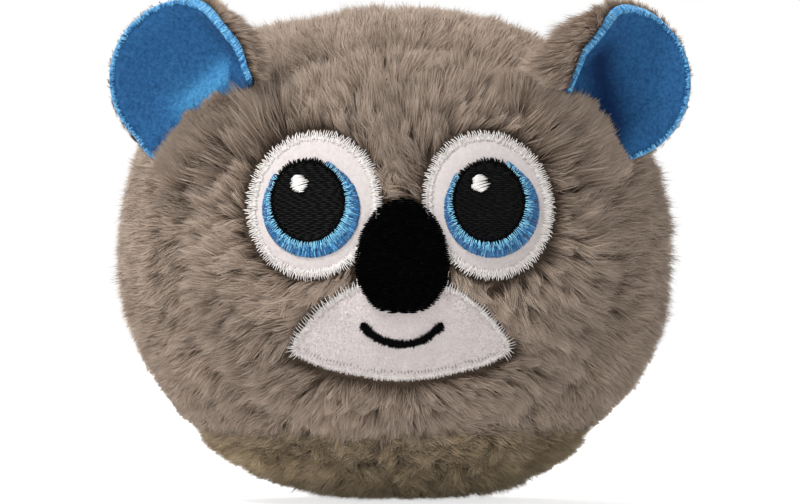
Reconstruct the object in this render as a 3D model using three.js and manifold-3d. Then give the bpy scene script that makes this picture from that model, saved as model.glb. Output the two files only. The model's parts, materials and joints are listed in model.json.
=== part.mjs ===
// Ball-shaped plush koala head, millimetres, +Z up, face towards -Y.
// The origin is the centre of the small flat patch that it rests on.
// Plush panels round a fibre filling, a sewn face, and two sewn-in ears that flex at their seam.
import * as THREE from 'three';
import { mergeVertices } from 'three/addons/utils/BufferGeometryUtils.js';
import Module from 'manifold-3d';

const wasm = await Module();
wasm.setup();

// The ball, measured over the tips of its pile
const ballWidth = 100;
const ballDepth = 92;
const ballHeight = 90;
const ballRoundness = 2.2;
const restFlatDepth = 0.5;

// The plush panels: backing and pile together, how far the solid pile lies below its longest hairs'
// tips where it isn't pressed, and where the seams run
const plushThickness = 6;
const pileTipDepth = 0.6;
const panelGap = 0.3;
const faceSeamForward = 28;
const baseSeamHeight = 13.5;
const seamThreadRadius = 0.5;
const seamThreadInset = 4.6;

// Each panel swells between its seams: how deep a seam draws it in, and how far from the seam that reaches
const baseSeamDrawIn = 1.8;
const faceSeamDrawIn = 1.7;
const backSeamDrawIn = 1.5;
const baseSwellReach = 10;
const crownSwellReach = 20;

// The sewn face lies below the pile: how deep each layer's top is, and how thick it is
const patchInset = 3.2;
const patchThickness = 1.2;
const threadThickness = 0.5;
const noseThickness = 1.3;
const glintThickness = 0.4;
const layerGap = 0.3;

// Eyes, in the front view, from the middle of the ball
const eyeSpacing = 31.6;
const eyeHeight = 7.9;
const irisRadius = 8.5;
const pupilHalfWidth = 6.85;
const pupilHalfHeight = 7.5;
const pupilShiftAcross = -0.55;
const pupilShiftUp = 1.4;
const glintRadius = 1.5;
const glintShiftAcross = -1.9;
const glintShiftUp = 3.1;
const eyePatchHalfWidth = 11.3;
const eyePatchHalfHeight = 12.8;
const eyePatchShiftIn = 0.5;
const eyePatchShiftUp = 0.75;
const eyePatchTilt = 14;
const satinWidth = 1.6;

// Nose, muzzle and mouth, in the same view
const noseHalfWidth = 8.2;
const noseTop = 9.8;
const noseBottom = -10.2;
const noseWidestAt = -1.3;
const muzzleHalfWidth = 19.4;
const muzzleTipHeight = -16.6;
const muzzleTop = -3.4;
const muzzleBottom = -22.3;
const mouthHalfWidth = 6.8;
const mouthCornerHeight = -12.1;
const mouthSag = 3.3;
const mouthStroke = 1.1;

// Ears: a disc of felt and plush, cut straight at the seam that it bends along
const earRadius = 14;
const earCentreAboveSeam = 7;
const earAngle = 38;
const leftUpturn = 8;
const rightUpturn = 3;
const earBeadRadius = 1.2;
const earBeadStandOff = 0.5;
const earSeamClearance = 0.3;
const liningThickness = 1.2;
const earPileThickness = 3.8;
const earRimPileThickness = 2.2;
const earPinchLength = 7;
const earCurlRise = 5;
const edgingWidth = 1.2;
const edgingThickness = 0.5;
const edgingGap = 0.5;
const earRootDepth = 4.8;
const earRootThickness = 1.9;
const earRootWidth = 20;
const leftCurlAngle = 105;
const leftCurlLength = 7;
const leftCurlStart = 6.75;
const leftCurlStartAtSeam = 4.6;
const rightCurlAngle = 165;
const rightCurlLength = 7.8;
const rightCurlStart = 5.4;
const rightCurlStartAtSeam = 6.2;

// Facets
const ballSides = 32;
const ballRings = 16;
const drawInSteps = 12;
const faceRows = 20;
const backRows = 18;
const cornerRow = 8;
const panelColumns = 14;
const baseRows = 5;
const baseRowSpread = 1.5;
const outlineSteps = 30;
const glintSteps = 12;
const mouthArcSteps = 7;
const threadSides = 6;
const earRows = 12;
const earColumns = 14;
const rimSteps = 30;
const threadSteps = 30;

const halfWidth = ballWidth / 2;
const halfDepth = ballDepth / 2;
const halfHeight = ballHeight / 2;
const centreHeight = halfHeight - restFlatDepth;
const far = ballWidth + ballDepth + ballHeight;

// Helpers that turn geometry into solids and solids into named meshes

// A geometry of loose triangles, three points each
function bareGeometry(positions) {
  const geometry = new THREE.BufferGeometry();
  geometry.setAttribute('position', new THREE.Float32BufferAttribute(positions, 3));
  return geometry;
}

function solidOf(geometry) {
  const bare = geometry.clone();
  bare.deleteAttribute('normal');
  bare.deleteAttribute('uv');
  const merged = mergeVertices(bare, 1e-4);
  const index = merged.index.array;
  const kept = [];
  for (let i = 0; i < index.length; i += 3) {
    const [a, b, c] = [index[i], index[i + 1], index[i + 2]];
    if (a !== b && b !== c && c !== a) kept.push(a, b, c);
  }
  return new wasm.Manifold(new wasm.Mesh({
    numProp: 3,
    vertProperties: new Float32Array(merged.attributes.position.array),
    triVerts: new Uint32Array(kept),
  }));
}

function geometryOf(solid) {
  const { vertProperties, triVerts } = solid.getMesh();
  const geometry = new THREE.BufferGeometry();
  geometry.setAttribute('position', new THREE.BufferAttribute(new Float32Array(vertProperties), 3));
  geometry.setIndex(new THREE.BufferAttribute(new Uint32Array(triVerts), 1));
  geometry.computeVertexNormals();
  return geometry;
}

const koala = new THREE.Group();

function addPiece(name, solid, material, parent = koala) {
  const mesh = new THREE.Mesh(geometryOf(solid), material.clone());
  mesh.name = name;
  parent.add(mesh);
  return mesh;
}

function slab(low, high) {
  const size = new THREE.Vector3().subVectors(high, low);
  const box = new THREE.BoxGeometry(size.x, size.y, size.z);
  box.translate((low.x + high.x) / 2, (low.y + high.y) / 2, (low.z + high.z) / 2);
  return solidOf(box);
}

// Materials, one kind for each cloth and thread

function cloth(color, roughness) {
  return new THREE.MeshStandardMaterial({ color, roughness, metalness: 0 });
}
const plushFur = cloth(0x8f7f72, 0.95);
const fibreFill = cloth(0xf1efe9, 1);
const seamThread = cloth(0x6f6258, 0.8);
const shortPile = cloth(0xe9e4e2, 0.9);
const whiteThread = cloth(0xf5f2ee, 0.5);
const blueThread = cloth(0x2f7fc0, 0.45);
const blackThread = cloth(0x0c0c0d, 0.5);
const blueFelt = cloth(0x2c6ca8, 0.95);
const edgingThread = cloth(0x4ba0dc, 0.5);

// The ball: a superellipse turned about Z, then narrowed from front to back

function ballSolid(inset) {
  const width = halfWidth - inset;
  const height = halfHeight - inset;
  const profile = [];
  for (let i = 0; i <= ballRings; i++) {
    const angle = (i / ballRings - 0.5) * Math.PI;
    const across = Math.max(0, Math.cos(angle)) ** (2 / ballRoundness);
    const up = Math.sign(Math.sin(angle)) * Math.abs(Math.sin(angle)) ** (2 / ballRoundness);
    const onAxis = i === 0 || i === ballRings;
    profile.push(new THREE.Vector2(onAxis ? 0 : width * across, height * up));
  }
  const geometry = new THREE.LatheGeometry(profile, ballSides);
  geometry.rotateX(Math.PI / 2);
  geometry.scale(1, (halfDepth - inset) / width, 1);
  geometry.translate(0, 0, centreHeight);
  return solidOf(geometry);
}

// How far along a ray from a point inside the ball's surface is reached
function reach(inset, start, direction) {
  const inside = (distance) => {
    const p = direction.clone().multiplyScalar(distance).add(start);
    const across = Math.hypot(p.x / (halfWidth - inset), p.y / (halfDepth - inset));
    const up = Math.abs(p.z - centreHeight) / (halfHeight - inset);
    return across ** ballRoundness + up ** ballRoundness < 1;
  };
  let near = 0;
  let beyond = far;
  for (let i = 0; i < 50; i++) {
    const middle = (near + beyond) / 2;
    if (inside(middle)) near = middle;
    else beyond = middle;
  }
  return near;
}

function surfacePoint(inset, start, direction) {
  return direction.clone().multiplyScalar(reach(inset, start, direction)).add(start);
}

// Directions at an angle in the planes of the three seams
const levelDirection = (angle) => new THREE.Vector3(Math.cos(angle), Math.sin(angle), 0);
const directionInFront = (angle) => new THREE.Vector3(Math.cos(angle), 0, Math.sin(angle));
const directionInMiddle = (angle) => new THREE.Vector3(0, Math.cos(angle), Math.sin(angle));

const aboveRest = slab(new THREE.Vector3(-far, -far, 0), new THREE.Vector3(far, far, far));

// How far below the ball's envelope the pile is at a point: its hairs' tips are left out, and the seam
// that draws it in most sets the rest
function drawIn(x, y, z) {
  const pull = (depth, distance, swellReach) => depth * Math.max(0, 1 - Math.abs(distance) / swellReach) ** 2;
  const tips = pileTipDepth * THREE.MathUtils.clamp(z / baseSeamHeight, 0, 1);
  const byBase = pull(baseSeamDrawIn, z - baseSeamHeight, baseSwellReach);
  if (z < baseSeamHeight) return tips + byBase;
  const byFace = pull(faceSeamDrawIn, y + faceSeamForward, crownSwellReach);
  const byBack = y > -faceSeamForward ? pull(backSeamDrawIn, x, crownSwellReach) : 0;
  return tips + Math.max(byBase, byFace, byBack);
}

// A point of the swelling cloth on a ray from inside, in steps, because its place and how far it is
// drawn in depend on each other
function clothAlong(from, direction) {
  let point = surfacePoint(0, from, direction);
  for (let i = 0; i < drawInSteps; i++) {
    point = surfacePoint(drawIn(point.x, point.y, point.z), from, direction);
  }
  return point;
}

const ballCentre = new THREE.Vector3(0, 0, centreHeight);
const faceSeamCentre = new THREE.Vector3(0, -faceSeamForward, centreHeight);
const baseSeamCentre = new THREE.Vector3(0, 0, baseSeamHeight);
const faceSeamPoint = (angle) => clothAlong(faceSeamCentre, directionInFront(angle));
const baseSeamPoint = (angle) => clothAlong(baseSeamCentre, levelDirection(angle));
const backSeamPoint = (angle) => clothAlong(ballCentre, directionInMiddle(angle));

// Cloth between an upper and a lower seam that meet at both their ends, over the ball's surface
function clothBetween(upper, lower) {
  return (t, s) => {
    const from = upper(t);
    const to = lower(t);
    if (s === 0) return from;
    if (s === 1) return to;
    const first = from.sub(ballCentre).normalize();
    const last = to.sub(ballCentre).normalize();
    const axis = new THREE.Vector3().crossVectors(first, last).normalize();
    const turn = first.angleTo(last) * crowded(s);
    return clothAlong(ballCentre, first.applyAxisAngle(axis, turn));
  };
}

// Steps that lie closer together towards both ends, where the seams are
function crowded(t) {
  return (t + (1 - Math.cos(Math.PI * t)) / 2) / 2;
}

// All three seam planes pass through this point, so a panel's walls are fans from its edge to here
const seamsMeet = new THREE.Vector3(0, -faceSeamForward, baseSeamHeight);

// The part of the ball between the seam planes under a grid of cloth points
function panelCore(rows, columns, place, closedRound = false) {
  const positions = [];
  const at = (row, column) => place(row / rows, closedRound ? (column % columns) / columns : column / columns);
  const face = (a, b, c) => {
    for (const p of [a, b, c]) positions.push(p.x, p.y, p.z);
  };
  for (let i = 0; i < rows; i++) {
    for (let j = 0; j < columns; j++) {
      face(at(i, j), at(i, j + 1), at(i + 1, j + 1));
      face(at(i, j), at(i + 1, j + 1), at(i + 1, j));
    }
    if (!closedRound) {
      face(seamsMeet, at(i, 0), at(i + 1, 0));
      face(seamsMeet, at(i + 1, columns), at(i, columns));
    }
  }
  for (let j = 0; j < columns; j++) {
    face(seamsMeet, at(0, j + 1), at(0, j));
    face(seamsMeet, at(rows, j), at(rows, j + 1));
  }
  return solidOf(bareGeometry(positions));
}

// The places where seams meet: the face seam's top, its lower corner at the right, and the back's foot
const cornerDirection = (() => {
  const inset = pileTipDepth + baseSeamDrawIn;
  const up = (centreHeight - baseSeamHeight) / (halfHeight - inset);
  const share = (1 - up ** ballRoundness) ** (1 / ballRoundness);
  const across = (halfWidth - inset) * Math.sqrt(share ** 2 - (faceSeamForward / (halfDepth - inset)) ** 2);
  return {
    alongFaceSeam: Math.atan2(baseSeamHeight - centreHeight, across),
    alongBaseSeam: Math.atan2(-faceSeamForward, across),
  };
})();
const seamTop = faceSeamPoint(Math.PI / 2);
const seamFoot = baseSeamPoint(Math.PI / 2);

const faceCore = panelCore(faceRows, panelColumns, clothBetween(
  (t) => faceSeamPoint(THREE.MathUtils.lerp(
    Math.PI - cornerDirection.alongFaceSeam, cornerDirection.alongFaceSeam, t,
  )),
  (t) => baseSeamPoint(THREE.MathUtils.lerp(
    -Math.PI - cornerDirection.alongBaseSeam, cornerDirection.alongBaseSeam, t,
  )),
));
const backCore = panelCore(backRows, panelColumns, clothBetween(
  (t) => backSeamPoint(THREE.MathUtils.lerp(
    Math.atan2(seamTop.z - centreHeight, seamTop.y), Math.atan2(seamFoot.z - centreHeight, seamFoot.y), t,
  )),
  (t) => {
    const row = t * backRows;
    if (row <= cornerRow) {
      return faceSeamPoint(THREE.MathUtils.lerp(Math.PI / 2, cornerDirection.alongFaceSeam, row / cornerRow));
    }
    const past = (row - cornerRow) / (backRows - cornerRow);
    return baseSeamPoint(THREE.MathUtils.lerp(cornerDirection.alongBaseSeam, Math.PI / 2, past));
  },
));
const baseCore = panelCore(baseRows, ballSides, (t, s) => {
  const low = centreHeight - halfHeight;
  const height = low + (baseSeamHeight - low) * t ** baseRowSpread;
  return clothAlong(new THREE.Vector3(0, 0, height), levelDirection((2 * s - 0.5) * Math.PI));
}, true);

// Seam threads, each along a curve on the backing side of the plush

class SurfaceCurve extends THREE.Curve {
  constructor(pointAt) {
    super();
    this.pointAt = pointAt;
  }
  getPoint(t, target = new THREE.Vector3()) {
    return target.copy(this.pointAt(t));
  }
}

function threadSolid(curve, radius) {
  const section = new THREE.Shape();
  for (let i = 0; i < threadSides; i++) {
    const angle = (i / threadSides) * 2 * Math.PI;
    const point = [radius * Math.cos(angle), radius * Math.sin(angle)];
    if (i === 0) section.moveTo(...point);
    else section.lineTo(...point);
  }
  section.closePath();
  const options = { steps: threadSteps, extrudePath: curve, bevelEnabled: false };
  return solidOf(new THREE.ExtrudeGeometry(section, options));
}

// The share of its closed seam that the base thread leaves open at each end
const threadEnds = 0.004;
// The open seams run a little past the seams that they meet, in half turns about the ball
const faceSeamFrom = -0.32;
const faceSeamTo = 1.32;
const backSeamFrom = 0.75;
const backSeamTo = -0.35;
const baseSeamCurve = new SurfaceCurve((t) => {
  const angle = Math.PI / 2 + (threadEnds + t * (1 - 2 * threadEnds)) * 2 * Math.PI;
  return surfacePoint(seamThreadInset, baseSeamCentre, levelDirection(angle));
});
const faceSeamCurve = new SurfaceCurve((t) => {
  const angle = THREE.MathUtils.lerp(faceSeamFrom, faceSeamTo, t) * Math.PI;
  return surfacePoint(seamThreadInset, faceSeamCentre, directionInFront(angle));
});
const backSeamCurve = new SurfaceCurve((t) => {
  const angle = THREE.MathUtils.lerp(backSeamFrom, backSeamTo, t) * Math.PI;
  return surfacePoint(seamThreadInset, ballCentre, directionInMiddle(angle));
});

const grooveRadius = seamThreadRadius + panelGap;
const baseGroove = threadSolid(baseSeamCurve, grooveRadius);
const faceGroove = threadSolid(faceSeamCurve, grooveRadius);
const backGroove = threadSolid(backSeamCurve, grooveRadius);

const clearOfBaseSeam = slab(
  new THREE.Vector3(-far, -far, baseSeamHeight + seamThreadRadius + grooveRadius),
  new THREE.Vector3(far, far, far),
);
const clearOfFaceSeam = slab(
  new THREE.Vector3(-far, -faceSeamForward + seamThreadRadius + grooveRadius, -far),
  new THREE.Vector3(far, far, far),
);
addPiece('base_seam_thread', threadSolid(baseSeamCurve, seamThreadRadius), seamThread);
const faceThread = threadSolid(faceSeamCurve, seamThreadRadius).intersect(clearOfBaseSeam);
addPiece('face_seam_thread', faceThread, seamThread);
const backThread = threadSolid(backSeamCurve, seamThreadRadius);
addPiece('back_seam_thread', backThread.intersect(clearOfBaseSeam).intersect(clearOfFaceSeam), seamThread);

// Outlines of the sewn face, drawn in the front view from the middle of the ball

function closedOutline(points) {
  const curve = new THREE.CatmullRomCurve3(
    points.map(([x, z]) => new THREE.Vector3(x, z, 0)), true, 'centripetal',
  );
  return curve.getPoints(outlineSteps).slice(0, -1).map((p) => new THREE.Vector2(p.x, p.y));
}

function ellipseOutline(x, z, across, up, tilt = 0, steps = outlineSteps) {
  const turn = THREE.MathUtils.degToRad(tilt);
  const outline = [];
  for (let i = 0; i < steps; i++) {
    const angle = (i / steps) * 2 * Math.PI;
    const [a, b] = [across * Math.cos(angle), up * Math.sin(angle)];
    outline.push(new THREE.Vector2(
      x + a * Math.cos(turn) - b * Math.sin(turn),
      z + a * Math.sin(turn) + b * Math.cos(turn),
    ));
  }
  return outline;
}

// Moves each point of a counter-clockwise outline outwards by a distance
function grown(outline, distance) {
  const count = outline.length;
  return outline.map((point, i) => {
    const before = outline[(i + count - 1) % count];
    const after = outline[(i + 1) % count];
    const into = point.clone().sub(before).normalize();
    const outOf = after.clone().sub(point).normalize();
    const along = into.add(outOf).normalize();
    return new THREE.Vector2(point.x + along.y * distance, point.y - along.x * distance);
  });
}

// How far in front of the ball's middle the sewn layers' outlines stop
const layerBehind = 8;

// A layer of the face: the outline pushed back through the ball, between two depths below the pile
function prism(outline) {
  const geometry = new THREE.ExtrudeGeometry(new THREE.Shape(outline), {
    depth: halfDepth,
    bevelEnabled: false,
  });
  geometry.rotateX(Math.PI / 2);
  geometry.translate(0, -layerBehind, centreHeight);
  return solidOf(geometry);
}

const ballAtInset = new Map();
function ballInside(inset) {
  if (!ballAtInset.has(inset)) ballAtInset.set(inset, ballSolid(inset));
  return ballAtInset.get(inset);
}

function layer(outline, top, thickness) {
  return prism(outline).intersect(ballInside(top)).subtract(ballInside(top + thickness));
}

function pocket(outline, floor) {
  return prism(grown(outline, layerGap)).subtract(ballInside(floor));
}

const noseOutline = closedOutline([
  [0, noseBottom],
  [noseHalfWidth * 0.58, noseBottom * 0.9],
  [noseHalfWidth * 0.93, noseBottom * 0.5],
  [noseHalfWidth, noseWidestAt],
  [noseHalfWidth * 0.86, noseTop * 0.42],
  [noseHalfWidth * 0.5, noseTop * 0.83],
  [0, noseTop],
  [-noseHalfWidth * 0.5, noseTop * 0.83],
  [-noseHalfWidth * 0.86, noseTop * 0.42],
  [-noseHalfWidth, noseWidestAt],
  [-noseHalfWidth * 0.93, noseBottom * 0.5],
  [-noseHalfWidth * 0.58, noseBottom * 0.9],
]);

const muzzleSide = (side) => [
  [side * muzzleHalfWidth * 0.4, muzzleTop - 1.9],
  [side * muzzleHalfWidth * 0.66, muzzleTop - 4.6],
  [side * muzzleHalfWidth * 0.87, muzzleTipHeight + 4.4],
  [side * muzzleHalfWidth, muzzleTipHeight],
  [side * muzzleHalfWidth * 0.8, muzzleTipHeight - 2.8],
  [side * muzzleHalfWidth * 0.36, muzzleBottom + 0.7],
];
const muzzleOutline = closedOutline([
  [0, muzzleBottom],
  ...muzzleSide(1).reverse(),
  [0, muzzleTop],
  ...muzzleSide(-1),
]);

const shortestEdge = 0.05;

function mouthOutline() {
  const radius = (mouthHalfWidth ** 2 + mouthSag ** 2) / (2 * mouthSag);
  const spread = Math.asin(mouthHalfWidth / radius);
  const centre = new THREE.Vector2(0, mouthCornerHeight + radius * Math.cos(spread));
  const shape = new THREE.Shape();
  const low = -Math.PI / 2;
  const cap = mouthStroke / 2;
  const end = (side) => [
    centre.x + side * radius * Math.sin(spread),
    centre.y - radius * Math.cos(spread),
  ];
  shape.absarc(centre.x, centre.y, radius + cap, low - spread, low + spread, false);
  shape.absarc(...end(1), cap, low + spread, low + spread + Math.PI, false);
  shape.absarc(centre.x, centre.y, radius - cap, low + spread, low - spread, true);
  shape.absarc(...end(-1), cap, low - spread + Math.PI, low - spread + 2 * Math.PI, false);
  const points = shape.getPoints(mouthArcSteps);
  return points.filter((p, i) => i === 0 || p.distanceTo(points[i - 1]) > shortestEdge).slice(0, -1);
}

const nosePrism = prism(grown(noseOutline, layerGap));
const threadInset = patchInset - layerGap - threadThickness;
const noseInset = patchInset - layerGap - noseThickness;
const pocketFloor = patchInset + patchThickness + layerGap;

let faceCuts = pocket(muzzleOutline, pocketFloor);

const muzzle = layer(muzzleOutline, patchInset, patchThickness);
addPiece('muzzle_patch', muzzle, shortPile);
const muzzleRing = layer(muzzleOutline, threadInset, threadThickness)
  .subtract(prism(grown(muzzleOutline, -satinWidth)))
  .subtract(nosePrism);
addPiece('muzzle_border', muzzleRing, whiteThread);
addPiece('mouth', layer(mouthOutline(), threadInset, threadThickness), blackThread);
addPiece('nose', layer(noseOutline, noseInset, noseThickness), blackThread);

function addEye(name, side) {
  const x = (side * eyeSpacing) / 2;
  const patchOutline = ellipseOutline(
    x - side * eyePatchShiftIn, eyeHeight + eyePatchShiftUp,
    eyePatchHalfWidth, eyePatchHalfHeight, side * eyePatchTilt,
  );
  const irisOutline = ellipseOutline(x, eyeHeight, irisRadius, irisRadius);
  const pupilX = x + pupilShiftAcross;
  const pupilZ = eyeHeight + pupilShiftUp;
  const pupilOutline = ellipseOutline(pupilX, pupilZ, pupilHalfWidth, pupilHalfHeight);
  const glintOutline = ellipseOutline(
    pupilX + glintShiftAcross, pupilZ + glintShiftUp, glintRadius, glintRadius, 0, glintSteps,
  );
  const glintInset = threadInset - layerGap - glintThickness;

  addPiece(`${name}_patch`, layer(patchOutline, patchInset, patchThickness), shortPile);
  const border = layer(patchOutline, threadInset, threadThickness)
    .subtract(prism(grown(patchOutline, -satinWidth)))
    .subtract(nosePrism);
  addPiece(`${name}_border`, border, whiteThread);
  const iris = layer(irisOutline, threadInset, threadThickness)
    .subtract(prism(grown(pupilOutline, layerGap)));
  addPiece(`${name}_iris`, iris, blueThread);
  addPiece(`${name}_pupil`, layer(pupilOutline, threadInset, threadThickness), blackThread);
  addPiece(`${name}_glint`, layer(glintOutline, glintInset, glintThickness), whiteThread);
  faceCuts = faceCuts.add(pocket(patchOutline, pocketFloor));
}
addEye('eye_left', -1);
addEye('eye_right', 1);
faceCuts = faceCuts.add(pocket(noseOutline, pocketFloor));

// Ears. In an ear's own frame X runs along the seam, Y out of the ball and Z towards the front.
// Its cloth is a disc that curls forwards at the side nearer the middle of the head.

function smooth(t) {
  const clamped = Math.min(1, Math.max(0, t));
  return clamped * clamped * (3 - 2 * clamped);
}

// The cloth's heading at a distance across the ear, in radians, 0 where it lies flat
function curlHeading(across, up, curl) {
  const start = THREE.MathUtils.lerp(curl.startAtSeam, curl.start, smooth(up / earCentreAboveSeam));
  const intoCurl = THREE.MathUtils.clamp((-across - start) / curl.length, 0, 1);
  return THREE.MathUtils.degToRad(curl.angle) * intoCurl * smooth(up / earCurlRise);
}

// A point of the ear: a place on the flat cloth, and a height in front of or behind it
function earPoint(across, up, front, curl) {
  const steps = 24;
  let x = 0;
  let z = 0;
  for (let i = 0; i < steps; i++) {
    const heading = curlHeading(((i + 0.5) / steps) * across, up, curl);
    x += (Math.cos(heading) * across) / steps;
    z -= (Math.sin(heading) * across) / steps;
  }
  const heading = curlHeading(across, up, curl);
  return new THREE.Vector3(x + front * Math.sin(heading), up, z + front * Math.cos(heading));
}

// A closed sheet over rows and columns, from its front and back heights
function sheetSolid(rows, columns, place) {
  const positions = [];
  const at = (row, column, face) => place(row / rows, column / columns, face);
  const quad = (a, b, c, d) => {
    for (const p of [a, b, c, a, c, d]) positions.push(p.x, p.y, p.z);
  };
  for (let i = 0; i < rows; i++) {
    for (let j = 0; j < columns; j++) {
      quad(at(i, j, 1), at(i, j + 1, 1), at(i + 1, j + 1, 1), at(i + 1, j, 1));
      quad(at(i, j, 0), at(i + 1, j, 0), at(i + 1, j + 1, 0), at(i, j + 1, 0));
    }
    quad(at(i, 0, 0), at(i, 0, 1), at(i + 1, 0, 1), at(i + 1, 0, 0));
    quad(at(i, columns, 1), at(i, columns, 0), at(i + 1, columns, 0), at(i + 1, columns, 1));
  }
  for (let j = 0; j < columns; j++) {
    quad(at(0, j, 0), at(0, j + 1, 0), at(0, j + 1, 1), at(0, j, 1));
    quad(at(rows, j, 1), at(rows, j + 1, 1), at(rows, j + 1, 0), at(rows, j, 0));
  }
  return solidOf(bareGeometry(positions));
}

const earTop = earCentreAboveSeam + earRadius;
const pinchedHalf = (up) => (up < 0 ? Math.sqrt(Math.max(0, earBeadRadius ** 2 - up ** 2)) : earBeadRadius);
const lowestRow = -earBeadRadius * 0.92;
const beadRows = 0.12;
const clothGap = layerGap / 2;

// Half the ear's width at a height above the seam; the part below the seam's middle stays straight
function earHalfWidth(up) {
  const fromCentre = Math.max(0, up) - earCentreAboveSeam;
  return Math.sqrt(Math.max(0, earRadius ** 2 - fromCentre ** 2));
}

function rowHeight(t) {
  if (t < beadRows) return lowestRow * (1 - t / beadRows);
  const angle = ((t - beadRows) / (1 - beadRows)) * (Math.PI / 2);
  return earTop * Math.sin(angle);
}

function liningFront(up) {
  const pinched = Math.max(pinchedHalf(up), clothGap * 2);
  return THREE.MathUtils.lerp(pinched, clothGap + liningThickness, smooth(up / earPinchLength));
}

function backRear(across, up) {
  const pinched = Math.max(pinchedHalf(up), clothGap * 2);
  const fromCentre = Math.hypot(across, up - earCentreAboveSeam) / earRadius;
  const pile = THREE.MathUtils.lerp(earPileThickness, earRimPileThickness, Math.min(1, fromCentre) ** 3);
  return -THREE.MathUtils.lerp(pinched, clothGap + pile, smooth(up / earPinchLength));
}

function earLayer(curl, height) {
  return sheetSolid(earRows, earColumns, (t, s, face) => {
    const up = rowHeight(t);
    const across = (2 * s - 1) * earHalfWidth(up);
    return earPoint(across, up, height(across, up, face), curl);
  });
}

// The stitched rim follows the disc's edge from one end of the seam to the other
function earEdging(curl) {
  const firstAngle = -Math.asin((earCentreAboveSeam - earBeadRadius) / earRadius);
  return sheetSolid(rimSteps, 2, (t, s, face) => {
    const angle = THREE.MathUtils.lerp(firstAngle, Math.PI - firstAngle, t);
    const radius = earRadius - edgingWidth * (1 - s);
    const across = radius * Math.cos(angle);
    const up = earCentreAboveSeam + radius * Math.sin(angle);
    const front = liningFront(up) + edgingGap + face * edgingThickness;
    return earPoint(across, up, front, curl);
  });
}

const hingeAboveSurface = earBeadStandOff + earBeadRadius;

// The frame at the middle of an ear's seam, for the side of the ball with x of that sign
function earFrame(side, upturn) {
  const angle = THREE.MathUtils.degToRad(earAngle);
  const direction = new THREE.Vector3(side * Math.cos(angle), 0, Math.sin(angle));
  const seat = surfacePoint(0, faceSeamCentre, direction);
  const up = seat.z - centreHeight;
  const across = Math.hypot(seat.x / halfWidth, seat.y / halfDepth);
  const slopeX = (across ** (ballRoundness - 2) * seat.x) / halfWidth ** 2;
  const slopeZ = up ** (ballRoundness - 1) / halfHeight ** ballRoundness;
  const outward = Math.atan2(slopeZ, Math.abs(slopeX)) + THREE.MathUtils.degToRad(upturn);
  const yAxis = new THREE.Vector3(side * Math.cos(outward), 0, Math.sin(outward));
  const zAxis = new THREE.Vector3(0, -1, 0);
  const xAxis = new THREE.Vector3().crossVectors(yAxis, zAxis);
  return { seat, xAxis, yAxis, zAxis, hinge: yAxis.clone().multiplyScalar(hingeAboveSurface).add(seat) };
}

// Turns an ear's solid over its own Y axis, so that the curl is at the other side
function solidMirror(solid) {
  return solid.mirror([1, 0, 0]);
}

function addEar(name, side, upturn, curl) {
  const frame = earFrame(side, upturn);
  const group = new THREE.Group();
  group.matrixAutoUpdate = false;
  group.matrix.makeBasis(frame.xAxis, frame.yAxis, frame.zAxis).setPosition(frame.hinge);
  koala.add(group);

  const mirrored = side < 0 ? solidMirror : (solid) => solid;
  const lining = earLayer(curl, (across, up, face) => (face ? liningFront(up) : clothGap));
  const back = earLayer(curl, (across, up, face) => (face ? -clothGap : backRear(across, up)));
  addPiece(`${name}_lining`, mirrored(lining), blueFelt, group);
  addPiece(`${name}_back`, mirrored(back), plushFur, group);
  addPiece(`${name}_edging`, mirrored(earEdging(curl)), edgingThread, group);

  const rootTop = -earBeadRadius - earSeamClearance;
  const rootBottom = -hingeAboveSurface - earRootDepth;
  const rootSlab = (margin) => slab(
    new THREE.Vector3(-earRootWidth / 2 - margin, rootBottom - margin, -earRootThickness / 2 - margin),
    new THREE.Vector3(earRootWidth / 2 + margin, rootTop + margin, earRootThickness / 2 + margin),
  );
  addPiece(`${name}_root`, rootSlab(0), blueFelt, group);
  return rootSlab(panelGap).transform(group.matrix.elements);
}

const leftCurl = {
  angle: leftCurlAngle,
  length: leftCurlLength,
  start: leftCurlStart,
  startAtSeam: leftCurlStartAtSeam,
};
const rightCurl = {
  angle: rightCurlAngle,
  length: rightCurlLength,
  start: rightCurlStart,
  startAtSeam: rightCurlStartAtSeam,
};
const leftSlot = addEar('ear_left', -1, leftUpturn, leftCurl);
const rightSlot = addEar('ear_right', 1, rightUpturn, rightCurl);

// The panels, cut apart along the seams, grooved for the threads and slotted for the ear roots

const halfGap = panelGap / 2;
const aboveBaseSeam = slab(
  new THREE.Vector3(-far, -far, baseSeamHeight + halfGap),
  new THREE.Vector3(far, far, far),
);
const belowBaseSeam = slab(
  new THREE.Vector3(-far, -far, -far),
  new THREE.Vector3(far, far, baseSeamHeight - halfGap),
);
const beforeFaceSeam = slab(
  new THREE.Vector3(-far, -far, -far),
  new THREE.Vector3(far, -faceSeamForward - halfGap, far),
);
const behindFaceSeam = (side) => slab(
  new THREE.Vector3(side > 0 ? halfGap : -far, -faceSeamForward + halfGap, -far),
  new THREE.Vector3(side > 0 ? far : -halfGap, far, far),
);
const grooves = baseGroove.add(faceGroove).add(backGroove).add(leftSlot).add(rightSlot);
const hollow = ballSolid(plushThickness).add(grooves);
const crownPanel = (core, region) => core.intersect(region).intersect(aboveBaseSeam).subtract(hollow);

addPiece('face_panel', crownPanel(faceCore, beforeFaceSeam).subtract(faceCuts), plushFur);
addPiece('back_panel_left', crownPanel(solidMirror(backCore), behindFaceSeam(-1)), plushFur);
addPiece('back_panel_right', crownPanel(backCore, behindFaceSeam(1)), plushFur);
addPiece('base_panel', baseCore.intersect(aboveRest).intersect(belowBaseSeam).subtract(hollow), plushFur);
addPiece('stuffing', ballSolid(plushThickness + panelGap), fibreFill);

export default koala;
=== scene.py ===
"""A ball-shaped plush koala head: combed fur, felt-lined ears and an embroidered face.

Lengths are in millimetres until a mesh is made, and the frame's metres after that.
X is across the face, -Y is out of it and Z is up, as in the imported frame.
"""
import json
import math

import bpy
import numpy as np
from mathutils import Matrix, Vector
from mathutils.bvhtree import BVHTree

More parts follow.
